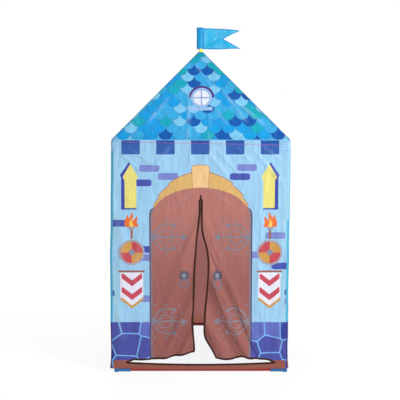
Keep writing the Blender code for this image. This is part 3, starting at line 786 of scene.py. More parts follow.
# %% [markdown]
# ### The door's cut, the hem and the eaves
#
# The door is an upside-down T: a slit up the middle and a cut along the sill. The cloth between the
# top of the slit and each end of the sill folds along a straight line, and that line is where the
# wall ends and a flap begins. Hem and sill hang through a little between the posts.

# %% Where the wall ends
SLIT_TOP = 711.5 * MM
SLIT_HALF = 298 * MM
SILL = 40.5 * MM
SILL_SAG = 8.5 * MM
HEM = 18 * MM
HEM_SAG = 5 * MM
EAVE_ROUNDING = 9 * MM
SEAM_HALF = HALF - CORNER_RADIUS + CORNER_RADIUS * pi / 4
FOLD_LENGTH = hypot(SLIT_HALF, SLIT_TOP - SILL)


def from_fold(x, z):
    """Distance from the door's fold lines, positive outside the door."""
    return (np.abs(x) * (SLIT_TOP - SILL) - (SLIT_TOP - z) * SLIT_HALF) / FOLD_LENGTH


def shell_half(z, share):
    """Half the tower's width at a height: upright below the eaves, sloping above, and rounded
    between the two where share, from the middle of a side to its corner, comes near 1."""
    slope = HALF - (z - EAVE) / SLOPE
    soft = EAVE_ROUNDING * np.clip((share - 0.9) / 0.08, 0, 1) + 0.5 * MM
    gap = np.maximum(soft - np.abs(HALF - slope), 0) / soft
    return np.minimum(HALF, slope) - gap**2 * soft / 4


print("fold line", round(FOLD_LENGTH, 3), "m, seam to seam", round(2 * SEAM_HALF, 3), "m")

# %% [markdown]
# ### Strain lines
#
# Where the frame pulls at the cloth, straight ridges run from the eaves and the posts into the
# wall. Random noise never gives them, so they are laid one by one, each from a start to an end.
# Along them a pale colour is painted in: a painted highlight for the sheen that each ridge catches.

# %% Strain lines
WALL_PULLS = [
    (36, 874, 106, 784, 8, 4.0), (66, 890, 150, 796, 6, 3.0), (128, 905, 205, 838, 7, 2.8),
    (196, 900, 322, 760, 8, 3.6), (240, 905, 336, 835, 6, 2.6), (-42, 925, -41, 832, 5, 3.0),
    (33, 925, 35, 846, 5, 2.6), (-336, 905, -236, 806, 8, 3.2), (-118, 908, -196, 806, 7, 2.8),
    (-290, 905, -210, 850, 6, 2.4), (-14, 742, -120, 660, 7, 1.3), (16, 744, 128, 672, 7, 1.5),
    (-336, 700, -300, 420, 9, 3.2), (334, 690, 306, 400, 9, 3.2), (-334, 330, -304, 90, 9, 3.2),
    (336, 300, 312, 80, 9, 3.0), (-236, 600, -262, 380, 8, 2.6), (240, 620, 226, 330, 8, 2.6),
]


def pulled(s, z, pulls):
    """Straight ridges where the cloth is under strain. Each row of pulls gives its two ends, how
    wide it is and how high, in millimetres."""
    rise = np.zeros(len(s))
    for start_s, start_z, end_s, end_z, wide, high in pulls:
        run = np.array([end_s - start_s, end_z - start_z]) * MM
        from_start = np.array([s - start_s * MM, z - start_z * MM])
        share = run @ from_start / (run @ run)
        aside = (run[1] * from_start[0] - run[0] * from_start[1]) / hypot(*run)
        rise += high * MM * np.exp(-(aside / (wide * MM)) ** 2 - ((share - 0.5) / 0.5) ** 4)
    return rise


def paint_ridge_sheen(obj, s, z, ridges, amount):
    """Stores a painted highlight along the ridges, as a share of pale colour: in patches, and never wholly.
    """
    patches = np.clip(0.55 + 1.1 * billow(s, z, 34 * MM, 2.7), 0, 1)
    store(obj, "painted_sheen", np.clip(amount * patches * ridges / (3 * MM), 0, 0.5))


# %% How the wall stands out
def wall_swell(s, z, seed, calm=1.0):
    """How far the cloth stands out from the straight line between its posts."""
    inside = np.clip((SEAM_HALF - np.abs(s)) / (50 * MM), 0, 1)
    lean = s * 0.8 + z * 0.6
    rise = 1.9 * MM * creases(lean, z * 0.35 - s, 120 * MM, seed)
    rise += 1.3 * MM * creases(s, z * 0.22, 74 * MM, seed + 7)
    rise += 1.6 * MM * billow(s, z * 0.6, 190 * MM, seed + 3)
    rise += pulled(s * (-1) ** (seed // 11), z, WALL_PULLS)
    hem = np.exp(-np.maximum(z - HEM, 0) / (45 * MM))
    rise += 2.0 * MM * hem * (1 + np.sin(s / (17 * MM) + seed))
    eave = np.clip((EAVE - z) / (60 * MM), 0, 1)
    return rise * inside * calm * (0.3 + 0.7 * eave)


def loosen_corners(x, y, z):
    """The cover hugs its posts loosely: its corners waver a little and flare at the hem."""
    near_x, near_y = (smooth_step((np.abs(value) - 300 * MM) / (48 * MM)) for value in (x, y))
    at_corner = near_x * near_y
    post = np.sign(x) + 2 * np.sign(y)
    waver = [noise.noise((c, 4.2, height / (130 * MM))) for c, height in zip(post, z)]
    below_eave = np.clip((EAVE - z) / (120 * MM), 0, 1)
    out = 1.6 * MM * (np.array(waver) + 0.4) * below_eave + 5.5 * MM * np.clip(1 - z / (100 * MM), 0, 1) ** 2
    slack = np.where(x < 0, 10.5 * MM, -2.4 * MM) * smooth_step((EAVE - z) / (600 * MM))
    return x + np.sign(x) * at_corner * (out + slack), y + np.sign(y) * at_corner * out


# %% [markdown]
# ### Four walls
#
# Each wall is a sheet of its own, sewn to its neighbours along the posts. A grid of 4 mm cells is
# fine enough for the creases and for crisp inks, and one function lays all four, so that they meet
# exactly at the seams. The gate is printed on the front and on the back.

# %% Laying one wall
CELL = 4 * MM


def lay_wall(wall, side, seed, drawn, door=False):
    """Lays a flat grid of (along, height) round the frame, with its print."""
    s, up = points(wall)[:, :2].T
    droop = HEM_SAG * (1 - (s / SEAM_HALF) ** 2)
    if door:
        below = np.clip((SILL - up) / (SILL - HEM), 0, 1)
        sill = SILL_SAG * np.clip(1 - (s / SLIT_HALF) ** 2, 0, 1) * (up < SILL + 0.1 * MM)
        droop = droop * below + sill * (1 - below)
        calm = np.maximum(smooth_step(from_fold(s, up) / (70 * MM)), 0.3 * np.clip(3 * below, 0, 1))
    else:
        droop = droop * np.clip((150 * MM - up) / (150 * MM - HEM), 0, 1)
        calm = 1.0
    z = up - droop
    half = shell_half(z, np.abs(s) / SEAM_HALF)
    x, y, out_x, out_y = wrap(s, half, CORNER_RADIUS)
    rise = wall_swell(s, z, seed, calm)
    x, y = quarter_turn(x + out_x * rise, y + out_y * rise, SIDES.index(side))
    x, y = loosen_corners(x, y, z)
    flat_map(wall, s, z)
    print_on(wall, drawn(s, z))
    # The strain lines get a painted highlight: pale colour along each ridge.
    paint_ridge_sheen(wall, s, z, pulled(s * (-1) ** (seed // 11), z, WALL_PULLS) * calm, 0.12)
    move_points(wall, np.column_stack([x, y, z]))
    thicken(wall, CLOTH, wall_finish)
    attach(wall, "tent")
    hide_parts(f"{side}_wall")
    return wall


# %% Sides and back
columns = round(2 * SEAM_HALF / CELL)
rows = round((EAVE - HEM) / CELL)
for seed, (side, drawn) in enumerate([("right", side_print), ("back", gate_print), ("left", side_print)]):
    wall = grid(f"cover_{side}", columns, rows, (2 * SEAM_HALF, EAVE - HEM), (0, (EAVE + HEM) / 2))
    lay_wall(wall, side, 11 * seed + 4, drawn)
print("wall sheets", columns, "by", rows, "cells, seam to seam", round(2 * SEAM_HALF, 4))

# %% [markdown]
# ### The front wall
#
# The front starts as the same grid. Three straight cuts mark the door, and the faces between them
# are taken out: the flaps that fill the place are sheets of their own, because they move. Bisect
# was chosen for the cuts, because it splits the cells exactly on the line.

# %% The front wall and its door
front = grid("cover_front", columns, rows, (2 * SEAM_HALF, EAVE - HEM), (0, (EAVE + HEM) / 2))
bpy.ops.object.mode_set(mode="EDIT")
for normal in ((SLIT_TOP - SILL, SLIT_HALF, 0), (SILL - SLIT_TOP, SLIT_HALF, 0)):
    bpy.ops.mesh.select_all(action="SELECT")
    bpy.ops.mesh.bisect(plane_co=(0, SLIT_TOP, 0), plane_no=normal)
bpy.ops.mesh.select_all(action="SELECT")
bpy.ops.mesh.bisect(plane_co=(0, SILL, 0), plane_no=(0, 1, 0))
bpy.ops.mesh.select_all(action="DESELECT")
bpy.ops.object.mode_set(mode="OBJECT")
for face in front.data.polygons:
    middle = face.center
    face.select = middle.y > SILL and bool(from_fold(middle.x, middle.y) < 0)
bpy.ops.object.mode_set(mode="EDIT")
bpy.ops.mesh.delete(type="FACE")
bpy.ops.object.mode_set(mode="OBJECT")
lay_wall(front, "front", 2, gate_print, door=True)
print("front wall:", len(front.data.polygons), "faces")

# %% [markdown]
# ## Door flaps
#
# The door is cut as an upside-down T, and each half hangs from an unseen line that runs from the
# top of the slit down to the end of the sill: that line is its hinge. A flap is a four-sided net
# between its hinge line, its free edge, its lower edge and the short end where the cut stops. A
# flat piece cut to that outline would have slivers at its tips, while a net keeps its cells even
# right up to them. It hangs in soft folds along the hinge line, deeper towards the free edge.

# %% Flap outlines, as shares of the slit's height downwards and of half its width sideways
FLAPS = {
    "left": {
        "sign": -1,
        "free": [(0.085, 0.016), (0.135, 0.026), (0.200, 0.048), (0.260, 0.064), (0.348, 0.077),
                 (0.415, 0.088), (0.552, 0.096), (0.649, 0.105), (0.746, 0.118), (0.843, 0.106),
                 (0.907, 0.092), (0.930, 0.096)],
        "low": [(0.941, 0.225), (0.953, 0.332), (0.961, 0.440), (0.964, 0.510), (0.969, 0.580),
                (0.976, 0.650), (0.976, 0.720), (0.975, 0.800), (0.974, 0.870), (0.978, 0.925),
                (0.988, 0.955), (0.995, 0.988)],
    },
    "right": {
        "sign": 1,
        "free": [(0.085, 0.018), (0.160, 0.018), (0.224, 0.030), (0.308, 0.088), (0.391, 0.111),
                 (0.481, 0.104), (0.555, 0.094), (0.631, 0.075), (0.697, 0.059), (0.837, 0.052),
                 (0.880, 0.103), (0.923, 0.168), (0.966, 0.212)],
        "low": [(0.972, 0.326), (0.973, 0.419), (0.967, 0.473), (0.953, 0.567), (0.969, 0.648),
                (0.971, 0.758), (0.974, 0.906), (0.981, 0.930), (0.989, 0.955), (0.995, 0.988)],
    },
}
SLIT_HEIGHT = SLIT_TOP - SILL
FOLD_START = 8 * MM
FOLD_END = 2.5 * MM


# %% A flap's four rims
def along_curve(places, count, blur=0.0):
    """Evenly spaced points along a line of places, its corners eased over a length."""
    places = np.array(places)
    run = np.concatenate([[0], np.cumsum(np.hypot(*np.diff(places, axis=0).T))])
    wanted = np.linspace(0, run[-1], count)
    spots = np.linspace(-0.5, 0.5, 9) * blur
    reach = np.minimum(1, np.minimum(wanted, run[-1] - wanted) / max(blur / 2, 1e-6))
    found = [[np.interp(wanted + spot * reach, run, places[:, k]) for k in (0, 1)] for spot in spots]
    return np.mean(found, axis=0).T


def flap_frame(sign):
    """Which way a flap's hinge line runs, and which way leads from it to the free edge."""
    down = np.array([sign * SLIT_HALF, -SLIT_HEIGHT]) / FOLD_LENGTH
    inward = np.array([-sign * SLIT_HEIGHT, -SLIT_HALF]) / FOLD_LENGTH
    return down, inward


def flap_rims(shape, along, across):
    """The four edges of a flap's net, as (x, z) from the top of the slit."""
    sign = shape["sign"]
    down, inward = flap_frame(sign)
    scale = np.array([sign * SLIT_HALF, -SLIT_HEIGHT])
    fold = np.linspace(FOLD_START, FOLD_LENGTH - FOLD_END, along)[:, None] * down
    free = [fold[0]] + [np.array((sideways, drop)) * scale for drop, sideways in shape["free"]]
    low = [free[-1]] + [np.array((sideways, drop)) * scale for drop, sideways in shape["low"]]
    free = along_curve(free, across, 40 * MM)
    low = along_curve(low, along, 30 * MM)
    return fold, free, low, along_curve([fold[-1], low[-1]], across)


# %% A flap's folds
FOLD_DEPTH = 7 * MM
FOLD_PITCH = 78 * MM
FOLD_LEAN = 0.42
FOLD_FADE = 90 * MM
FLAP_SWING = 4 * MM
FLAP_PULLS = {
    -1: [(-18, -115, -138, -365, 8, 5.0)],
    1: [(34, -205, 92, -345, 7, 4.0), (44, -345, 120, -445, 8, 3.4)],
}


def flap_depth(sign, x, z):
    """How far behind the wall's face a flap's point hangs: its big folds, forward at the free edge."""
    _, inward = flap_frame(sign)
    fade = smooth_step((x * inward[0] + z * inward[1]) / FOLD_FADE)
    turns = (sign * x + FOLD_LEAN * z) / FOLD_PITCH
    uneven = 0.12 * np.sin(2.3 * turns + sign) + 0.1 * np.sin(z / (90 * MM))
    shift, depth = (0.0, FOLD_DEPTH) if sign > 0 else (0.33, 1.3 * FOLD_DEPTH)
    return fade * (depth * np.sin(2 * pi * (turns + uneven + shift)) - FLAP_SWING)


def fine_folds(sign, x, z, seed):
    """Small folds and strain lines beside the big folds. They fade at the hinge line."""
    _, inward = flap_frame(sign)
    away = x * inward[0] + z * inward[1]
    across = sign * x + FOLD_LEAN * z
    ridges = creases(across, z * 0.16, 44 * MM, seed)
    crumples = creases(z * 0.7 + across * 0.5, across, 95 * MM, seed + 5)
    strained = pulled(x, z, FLAP_PULLS[sign])
    return -smooth_step(away / (50 * MM)) * (3.0 * MM * ridges + 2.0 * MM * crumples + strained)


# %% Flap sheets
def lay_flap(name, shape, seed):
    sign = shape["sign"]
    along, across = ((190, 110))
    fold, free, low, end = flap_rims(shape, along + 1, across + 1)
    flap = grid(f"flap_{name}", along, across)
    place = points(flap)
    i = np.rint((place[:, 0] + 0.5) * along).astype(int)
    j = np.rint((place[:, 1] + 0.5) * across).astype(int)
    s, t = (i / along)[:, None], (j / across)[:, None]
    corners = (1 - s) * (1 - t) * fold[0] + (1 - s) * t * low[0] + s * (1 - t) * fold[-1] + s * t * low[-1]
    net = (1 - t) * fold[i] + t * low[i] + (1 - s) * free[j] + s * end[j] - corners
    x, z = net.T
    y = flap_depth(sign, x, z) + fine_folds(sign, x, z, seed)
    flat_map(flap, x, z + SLIT_TOP)
    print_on(flap, gate_print(x, z + SLIT_TOP))
    move_points(flap, np.column_stack([x, y - HALF, z + SLIT_TOP]))
    if flap.data.polygons[0].normal.y > 0:
        select_only(flap)
        bpy.ops.object.mode_set(mode="EDIT")
        bpy.ops.mesh.select_all(action="SELECT")
        bpy.ops.mesh.flip_normals()
        bpy.ops.object.mode_set(mode="OBJECT")
    thicken(flap, CLOTH, wall_finish)
    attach(flap, f"{name}_flap")
    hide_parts(f"door_flap_{name}")
    return flap, free, low


FLAP_SEEDS = {"left": 31, "right": 40}
flaps = {name: lay_flap(name, shape, FLAP_SEEDS[name]) for name, shape in FLAPS.items()}
print("flaps:", [len(flap.data.polygons) for flap, _, _ in flaps.values()], "faces")

# %% [markdown]
# ## Bindings
#
# The cut edges are bound with a narrow dark tape, folded over the edge and sewn down. Each is a
# strip with round edges that follows the cloth's edge exactly, in and out with its folds. A curve
# with a bevel would twist where the edge turns sharply, so the strip is a grid that is rolled up
# round the edge, with its flat side kept in the cloth's plane.


# %% Tape along an edge
def tape(name, path, wide, thick, sides=10):
    """A flat round-edged strip. path holds rows of (place, unit vector across it)."""
    places, across = (np.array(p) for p in path)
    made = grid(name, len(places) - 1, sides)
    spot = points(made)
    i = np.rint((spot[:, 0] + 0.5) * (len(places) - 1)).astype(int)
    turn = (spot[:, 1] + 0.5) * 2 * pi
    ahead = np.gradient(places, axis=0)
    ahead /= np.linalg.norm(ahead, axis=1)[:, None]
    through = np.cross(ahead, across)
    flatten = np.sign(np.cos(turn)) * np.abs(np.cos(turn)) ** 0.6
    around = across[i] * (flatten * wide / 2)[:, None] + through[i] * (np.sin(turn) * thick / 2)[:, None]
    flat_map(made, i * 3 * MM, turn * MM)
    move_points(made, places[i] + around)
    select_only(made)
    bpy.ops.object.mode_set(mode="EDIT")
    bpy.ops.mesh.select_all(action="SELECT")
    bpy.ops.mesh.remove_doubles(threshold=0.01 * MM)
    bpy.ops.mesh.select_all(action="DESELECT")
    bpy.ops.mesh.select_non_manifold()
    bpy.ops.mesh.edge_face_add()
    bpy.ops.mesh.select_all(action="SELECT")
    bpy.ops.mesh.normals_make_consistent(inside=False)
    bpy.ops.object.mode_set(mode="OBJECT")
    return made


# %% [markdown]
# ### Woven tape
#
# Grosgrain is a polyester tape with fine cords across it. To the eye it is nearly matt, and its
# cords break the light into small steps, so that it never shines like the cloth beside it. The
# cords of the real tape lie about 0.8 mm apart and are drawn twice as coarse.


# %% Ribbed threads
def thread_finish(tree, colour, roughness, ribs=1.58 * MM):
    place = add(tree, "TexCoord").outputs["Object"]
    wave = add(tree, "TexWave", {"Vector": place, "Scale": 1 / (ribs * BANDS)}, bands_direction="Z")
    bump = add(tree, "Bump", {"Height": wave.outputs["Fac"], "Strength": 0.4, "Distance": 0.3 * MM})
    shell = add(tree, "BsdfPrincipled", {"Base Color": colour, "Roughness": roughness, "Sheen Weight": 0.05,
                                         "Specular IOR Level": 0.2, "Normal": bump.outputs[0]})
    add(tree, "OutputMaterial", {0: shell.outputs[0]})


binding_finish, tree = blank_material("grosgrain_binding_dark_brown")
thread_finish(tree, ink("#2E140D"), 0.85)


# %% Bindings of the flaps
TAPE_WIDE = 8.2 * MM
TAPE_THICK = 1.8 * MM


def finish_tape(band, body):
    band.data.materials.append(binding_finish)
    select_only(band)
    bpy.ops.object.shade_smooth()
    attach(band, body)


for name, (flap, free, low) in flaps.items():
    sign = FLAPS[name]["sign"]
    edge = np.vstack([free[1:-1], low[:-1]])
    ahead = np.gradient(edge, axis=0)
    ahead /= np.linalg.norm(ahead, axis=1)[:, None]
    out = np.column_stack([ahead[:, 1], -ahead[:, 0]]) * sign
    deep = flap_depth(sign, *edge.T) + fine_folds(sign, *edge.T, FLAP_SEEDS[name])
    to_end = SLIT_HALF - np.abs(edge[:, :1])
    from_middle = np.abs(edge[:, :1]) - TAPE_WIDE / 2 - 0.2 * MM
    beyond = np.minimum.reduce([np.full(to_end.shape, 1.5 * MM), from_middle, to_end * 0.2])
    edge = edge + out * beyond
    rim = np.column_stack([edge[:, 0], deep - HALF + CLOTH / 2, edge[:, 1] + SLIT_TOP])
    across = np.column_stack([out[:, 0], np.zeros(len(out)), out[:, 1]])
    band = tape(f"flap_{name}_tape", (rim, across), TAPE_WIDE, TAPE_THICK)
    finish_tape(band, f"{name}_flap")
    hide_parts(f"door_flap_{name}_binding")
    print(band.name, "follows", len(edge), "points of the edge")

# %% [markdown]
# The sill has a tape of its own, and a few stitches back and forth keep the cut from tearing at its
# three ends: one short tack at the top of the slit and one at each end of the sill.

# %% Sill and tacks
SILL_TAPE_THICK = 2.8 * MM
SILL_SHARE = 0.99
TACK_THICK = 1.6 * MM
UPWARDS = (0.0, 0.0, 1.0)
SIDEWAYS = (1.0, 0.0, 0.0)


def plain_path(x, y, z, across):
    """A path for a tape whose way across is the same all along."""
    places = np.column_stack(np.broadcast_arrays(x, y, z))
    return places, np.tile(across, (len(places), 1))


reach = np.linspace(-SILL_SHARE, SILL_SHARE, 90) * SLIT_HALF
sill_z = SILL - SILL_SAG * (1 - (reach / SLIT_HALF) ** 2)
sill_path = plain_path(reach, CLOTH / 2 - HALF, sill_z, UPWARDS)
sill_tape = tape("sill_tape", sill_path, TAPE_WIDE, SILL_TAPE_THICK)
tack_z = SLIT_TOP + np.linspace(3, -16, 9) * MM
tack_path = plain_path(0.0, -HALF - CLOTH / 2, tack_z, SIDEWAYS)
tacks = [tape("slit_tack_top", tack_path, 7 * MM, TACK_THICK)]
for name, sign in (("left", -1), ("right", 1)):
    tack_x = sign * (SLIT_HALF + np.linspace(-13, 2, 9) * MM)
    tack_z = SILL + np.linspace(4.5, 1, 9) * MM
    tack_path = plain_path(tack_x, -HALF - CLOTH / 2, tack_z, UPWARDS)
    tacks.append(tape(f"slit_tack_{name}", tack_path, 6.5 * MM, TACK_THICK))
for band in (sill_tape, *tacks):
    finish_tape(band, "tent")
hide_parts("sill_binding")
print("sill tape and", len(tacks), "tacks")

# %% [markdown]
# ## Roof
#
# The roof is one pyramid of cloth, printed with fish-scale shingles in five blues. A point on it
# belongs to the shingle whose round foot lies just below it, and a random colour is picked for each.
# The shingle rows overlap like real ones, each row half a shingle aside of the next. Drawing each
# shingle as a field on the mesh would take hundreds of them, so here the shader does the sums.


# %% A sum in Math nodes
def work_out(tree, known, steps):
    """Each step is (result, operation, terms): a term is a number or an earlier result's name."""
    for result, operation, *terms in steps:
        links = {i: known[term] if isinstance(term, str) else term for i, term in enumerate(terms)}
        known[result] = add(tree, "Math", links, operation=operation).outputs[0]
    return known


# %% Shingles
SHINGLE = {"wide": 55 * MM, "pitch": 36 * MM, "line": 0.9 * MM}
SHINGLE_BLUES = [(0.0, "#84D0F0"), (0.22, "#3CB4E6"), (0.49, "#12A6E6"), (0.69, "#14B2C6"), (0.86, "#0C5EB2")]


def shingle_inks(tree, known):
    """Finds the row and column of the shingle that shows at (u, v), and picks its blue by them."""
    work_out(tree, known, [
        ("q", "DIVIDE", "v", SHINGLE["pitch"]),
        ("row", "FLOOR", "q"),
        ("up", "SUBTRACT", "q", "row"),
        ("down", "SUBTRACT", 1.0, "up"),
        ("odd", "FLOORED_MODULO", "row", 2.0),
        ("shift", "MULTIPLY", "odd", 0.5),
        ("a", "DIVIDE", "u", SHINGLE["wide"]),
        ("a_here", "ADD", "a", "shift"),
        ("column", "FLOOR", "a_here"),
        ("part", "SUBTRACT", "a_here", "column"),
        ("side", "MULTIPLY_ADD", "part", 2.0, -1.0),
        ("side_2", "MULTIPLY", "side", "side"),
        ("down_2", "MULTIPLY", "down", "down"),
        ("far_2", "ADD", "side_2", "down_2"),
        ("far", "SQRT", "far_2"),
        ("edge", "SUBTRACT", "far", 1.0),
        ("covered", "LESS_THAN", "edge", 0.0),
        ("a_below", "SUBTRACT", 0.5, "shift"),
        ("a_other", "ADD", "a", "a_below"),
        ("column_below", "FLOOR", "a_other"),
        ("row_below", "SUBTRACT", "row", 1.0),
        ("column_step", "SUBTRACT", "column", "column_below"),
        ("own_column", "MULTIPLY_ADD", "column_step", "covered", "column_below"),
        ("own_row", "ADD", "row_below", "covered"),
        ("edge_mm", "MULTIPLY", "edge", SHINGLE["wide"] / 2),
        ("near", "ABSOLUTE", "edge_mm"),
    ])
    seat = add(tree, "CombineXYZ", {0: known["own_column"], 1: known["own_row"]})
    pick = add(tree, "TexWhiteNoise", {"Vector": seat.outputs[0]}, noise_dimensions="2D")
    blues = add(tree, "ValToRGB", {0: pick.outputs["Value"]})
    blues.color_ramp.interpolation = "CONSTANT"
    while len(blues.color_ramp.elements) < len(SHINGLE_BLUES):
        blues.color_ramp.elements.new(0.5)
    for stop, (start, code) in zip(blues.color_ramp.elements, SHINGLE_BLUES):
        stop.position = start
        stop.color = ink(code)
    colour = sheen_streaks(tree, blues.outputs[0], 0.07)
    outline = add(tree, "MapRange", {"Value": known["near"], "From Min": SHINGLE["line"] * 0.5,
                                     "From Max": SHINGLE["line"] * 1.2, "To Min": 0.75, "To Max": 0.0})
    inked = add(tree, "Mix", {0: outline.outputs[0], 6: colour, 7: ink("#5468B4")}, data_type="RGBA")
    return inked.outputs[2]


# %% [markdown]
# ### Attic window
#
# In the front panel is a printed round window with a cross of glazing bars, a pale stone ring, a
# purple hood over it and a ledge below. Rings round one point need only the distance to it, drawn
# from the largest to the smallest. Upwards distances count less, because the panel slopes.


# %% Attic window
ATTIC = {"u": 3 * MM, "v": 232 * MM, "radius": 33 * MM, "ring": 9 * MM, "hood": 10 * MM, "bar": 2.2 * MM,
         "ledge": 47 * MM}
SEEN_SHARE = 0.76


def attic_inks(tree, known, colour):
    on_front = add(tree, "Attribute", attribute_name="front_panel").outputs["Fac"]
    work_out(tree, known, [
        ("du", "SUBTRACT", "u", ATTIC["u"]),
        ("dv", "SUBTRACT", "v", ATTIC["v"]),
        ("dv_seen", "MULTIPLY", "dv", SEEN_SHARE),
        ("du_2", "MULTIPLY", "du", "du"),
        ("dv_2", "MULTIPLY", "dv_seen", "dv_seen"),
        ("from_2", "ADD", "du_2", "dv_2"),
        ("from", "SQRT", "from_2"),
        ("u_far", "ABSOLUTE", "du"),
        ("v_far", "ABSOLUTE", "dv_seen"),
        ("bars", "MINIMUM", "u_far", "v_far"),
        ("below", "LESS_THAN", "dv", 0.0),
        ("hood", "ADD", "below", "from"),
        ("ledge_low", "ADD", "dv_seen", ATTIC["ledge"]),
        ("ledge_far", "ABSOLUTE", "ledge_low"),
        ("ledge_up", "MULTIPLY", "ledge_far", 6.0),
        ("ledge_side", "MAXIMUM", "ledge_up", "u_far"),
    ])
    rings = (
        ("#5C3A80", "hood", ATTIC["radius"] + ATTIC["ring"] + ATTIC["hood"]),
        ("#5A7CC0", "ledge_side", 46 * MM),
        ("#A8CCF0", "ledge_side", 44 * MM),
        ("#5A7CC0", "from", ATTIC["radius"] + ATTIC["ring"] + 1.4 * MM),
        ("#A8CCF0", "from", ATTIC["radius"] + ATTIC["ring"]),
        ("#6C62A8", "from", ATTIC["radius"] + 1.4 * MM),
        ("#F4F5FA", "from", ATTIC["radius"]),
    )
    for code, field, radius in rings:
        edge = add(tree, "MapRange", {"Value": known[field], "From Min": radius - 0.4 * MM,
                                      "From Max": radius + 0.4 * MM, "To Min": 1.0, "To Max": 0.0})
        share = add(tree, "Math", {0: edge.outputs[0], 1: on_front}, operation="MULTIPLY")
        colour = add(tree, "Mix", {0: share.outputs[0], 6: colour, 7: ink(code)}, data_type="RGBA").outputs[2]
        glass = share.outputs[0]
    bar = add(tree, "MapRange", {"Value": known["bars"], "From Min": ATTIC["bar"] - 0.4 * MM,
                                 "From Max": ATTIC["bar"] + 0.4 * MM, "To Min": 1.0, "To Max": 0.0})
    share = add(tree, "Math", {0: bar.outputs[0], 1: glass}, operation="MULTIPLY")
    barred = add(tree, "Mix", {0: share.outputs[0], 6: colour, 7: ink("#8C9CD8")}, data_type="RGBA")
    return barred.outputs[2]


# %% [markdown]
# ### Seams
#
# The four panels are sewn together along the hips. Two layers of cloth lie over each other there,
# which makes the seam darker, and a row of stitches runs beside it. The same few sums make a row of
# stitches anywhere: a thin line at a distance from an edge, cut into dashes. They are used again
# for the patches and for the flag.


# %% A row of stitches
def stitches(tree, known, edge, along, inset, thread, pitch, length):
    """Adds "stitch" to what is known: 1 on a thread. edge and along are results, the rest lengths."""
    return work_out(tree, known, [
        ("off", "SUBTRACT", edge, inset),
        ("off_far", "ABSOLUTE", "off"),
        ("on_thread", "LESS_THAN", "off_far", thread),
        ("beat", "FLOORED_MODULO", along, pitch),
        ("dash", "LESS_THAN", "beat", length),
        ("stitch", "MULTIPLY", "on_thread", "dash"),
    ])


def hip_seams(tree, known, colour):
    known["hip"] = add(tree, "Attribute", attribute_name="from_hip").outputs["Fac"]
    stitches(tree, known, "hip", "v", 5 * MM, 0.6 * MM, 7 * MM, 4.4 * MM)
    work_out(tree, known, [("stitch_share", "MULTIPLY", "stitch", 0.8)])
    doubled = add(tree, "MapRange", {"Value": known["hip"], "From Min": 1.5 * MM, "From Max": 9 * MM,
                                     "To Min": 0.38, "To Max": 0.0})
    for share, code in ((doubled.outputs[0], "#20509C"), (known["stitch_share"], "#28306C")):
        colour = add(tree, "Mix", {0: share, 6: colour, 7: ink(code)}, data_type="RGBA").outputs[2]
    return colour


# %% Roof cloth
def roof_cloth(name, sheen_veil_and_pallor, through, light=None):
    """The walls' taffeta in deeper inks, which give it slightly more gloss at the roof's slant."""
    made, tree = blank_material(name)
    axes = add(tree, "SeparateXYZ", {0: add(tree, "TexCoord").outputs["UV"]})
    known = {"u": axes.outputs["X"], "v": axes.outputs["Y"]}
    colour = shingle_inks(tree, known)
    colour = attic_inks(tree, known, colour)
    colour = hip_seams(tree, known, colour)
    finish_cloth(tree, paint_sheen_and_pallor(tree, colour, "#D2EAF6", sheen_veil_and_pallor), 0.5, through, light)
    print(name, "has", len(tree.nodes), "nodes")
    return made


# The roof's right side gets no painted veil; the wrong side's 0.2 is its paler print.
roof_finish = [
    roof_cloth("printed_taffeta_roof", 0.0, THROUGH),
    roof_cloth("taffeta_roof_wrong_side", 0.2, THROUGH_BACK, CLEAR),
]

# %% [markdown]
# ### The roof sheet
#
# Four panels lie on four slanting tubes and meet in a small square opening at the peak. A cone with
# four sides is that pyramid already. Its sides are subdivided, and then its points are moved: the
# cloth sags between the hips, carries swells, creases and strain lines, and is rounded where it
# turns down at the eaves' corners.

# %% The pyramid
ROOF_CUTS = 70
PANEL_RISE = hypot(PEAK - EAVE, HALF - PEAK_HALF)
bpy.ops.object.select_all(action="DESELECT")
bpy.ops.mesh.primitive_cone_add(vertices=4, radius1=HALF * 2**0.5, radius2=PEAK_HALF * 2**0.5,
                                depth=PEAK - EAVE, end_fill_type="NOTHING",
                                location=(0, 0, (PEAK + EAVE) / 2), rotation=(0, 0, radians(45)))
roof = bpy.context.object
roof.name = roof.data.name = "cover_roof"
bpy.ops.object.transform_apply(location=True, rotation=True, scale=True)
bpy.ops.object.mode_set(mode="EDIT")
bpy.ops.mesh.select_all(action="SELECT")
bpy.ops.mesh.subdivide(number_cuts=ROOF_CUTS)
bpy.ops.object.mode_set(mode="OBJECT")
print("roof:", len(roof.data.polygons), "cells, a panel is", round(PANEL_RISE, 3), "m up its slope")

# %% A map in metres for each panel
PANEL_STEP = 1.3
x, y, z = points(roof).T
half = np.maximum(np.abs(x), np.abs(y))
from_hip = half - np.minimum(np.abs(x), np.abs(y))
rise_share = (z - EAVE) / (PEAK - EAVE)
centre = np.empty(len(roof.data.polygons) * 3)
roof.data.polygons.foreach_get("center", centre)
cx, cy = centre.reshape(-1, 3)[:, :2].T
side = np.where(np.abs(cx) > np.abs(cy), np.where(cx > 0, 1, 3), np.where(cy > 0, 2, 0))
side = np.repeat(side, 4)
corner = np.empty(len(roof.data.loops), dtype=int)
roof.data.loops.foreach_get("vertex_index", corner)
along = np.choose(side, [x[corner], y[corner], -x[corner], -y[corner]])
layer = roof.data.uv_layers.active or roof.data.uv_layers.new(name="cut")
uv = np.column_stack([along + side * PANEL_STEP, rise_share[corner] * PANEL_RISE])
layer.data.foreach_set("uv", uv.ravel())
store(roof, "from_hip", from_hip)
store(roof, "front_panel", (y < -np.abs(x) + 1 * MM).astype(float))

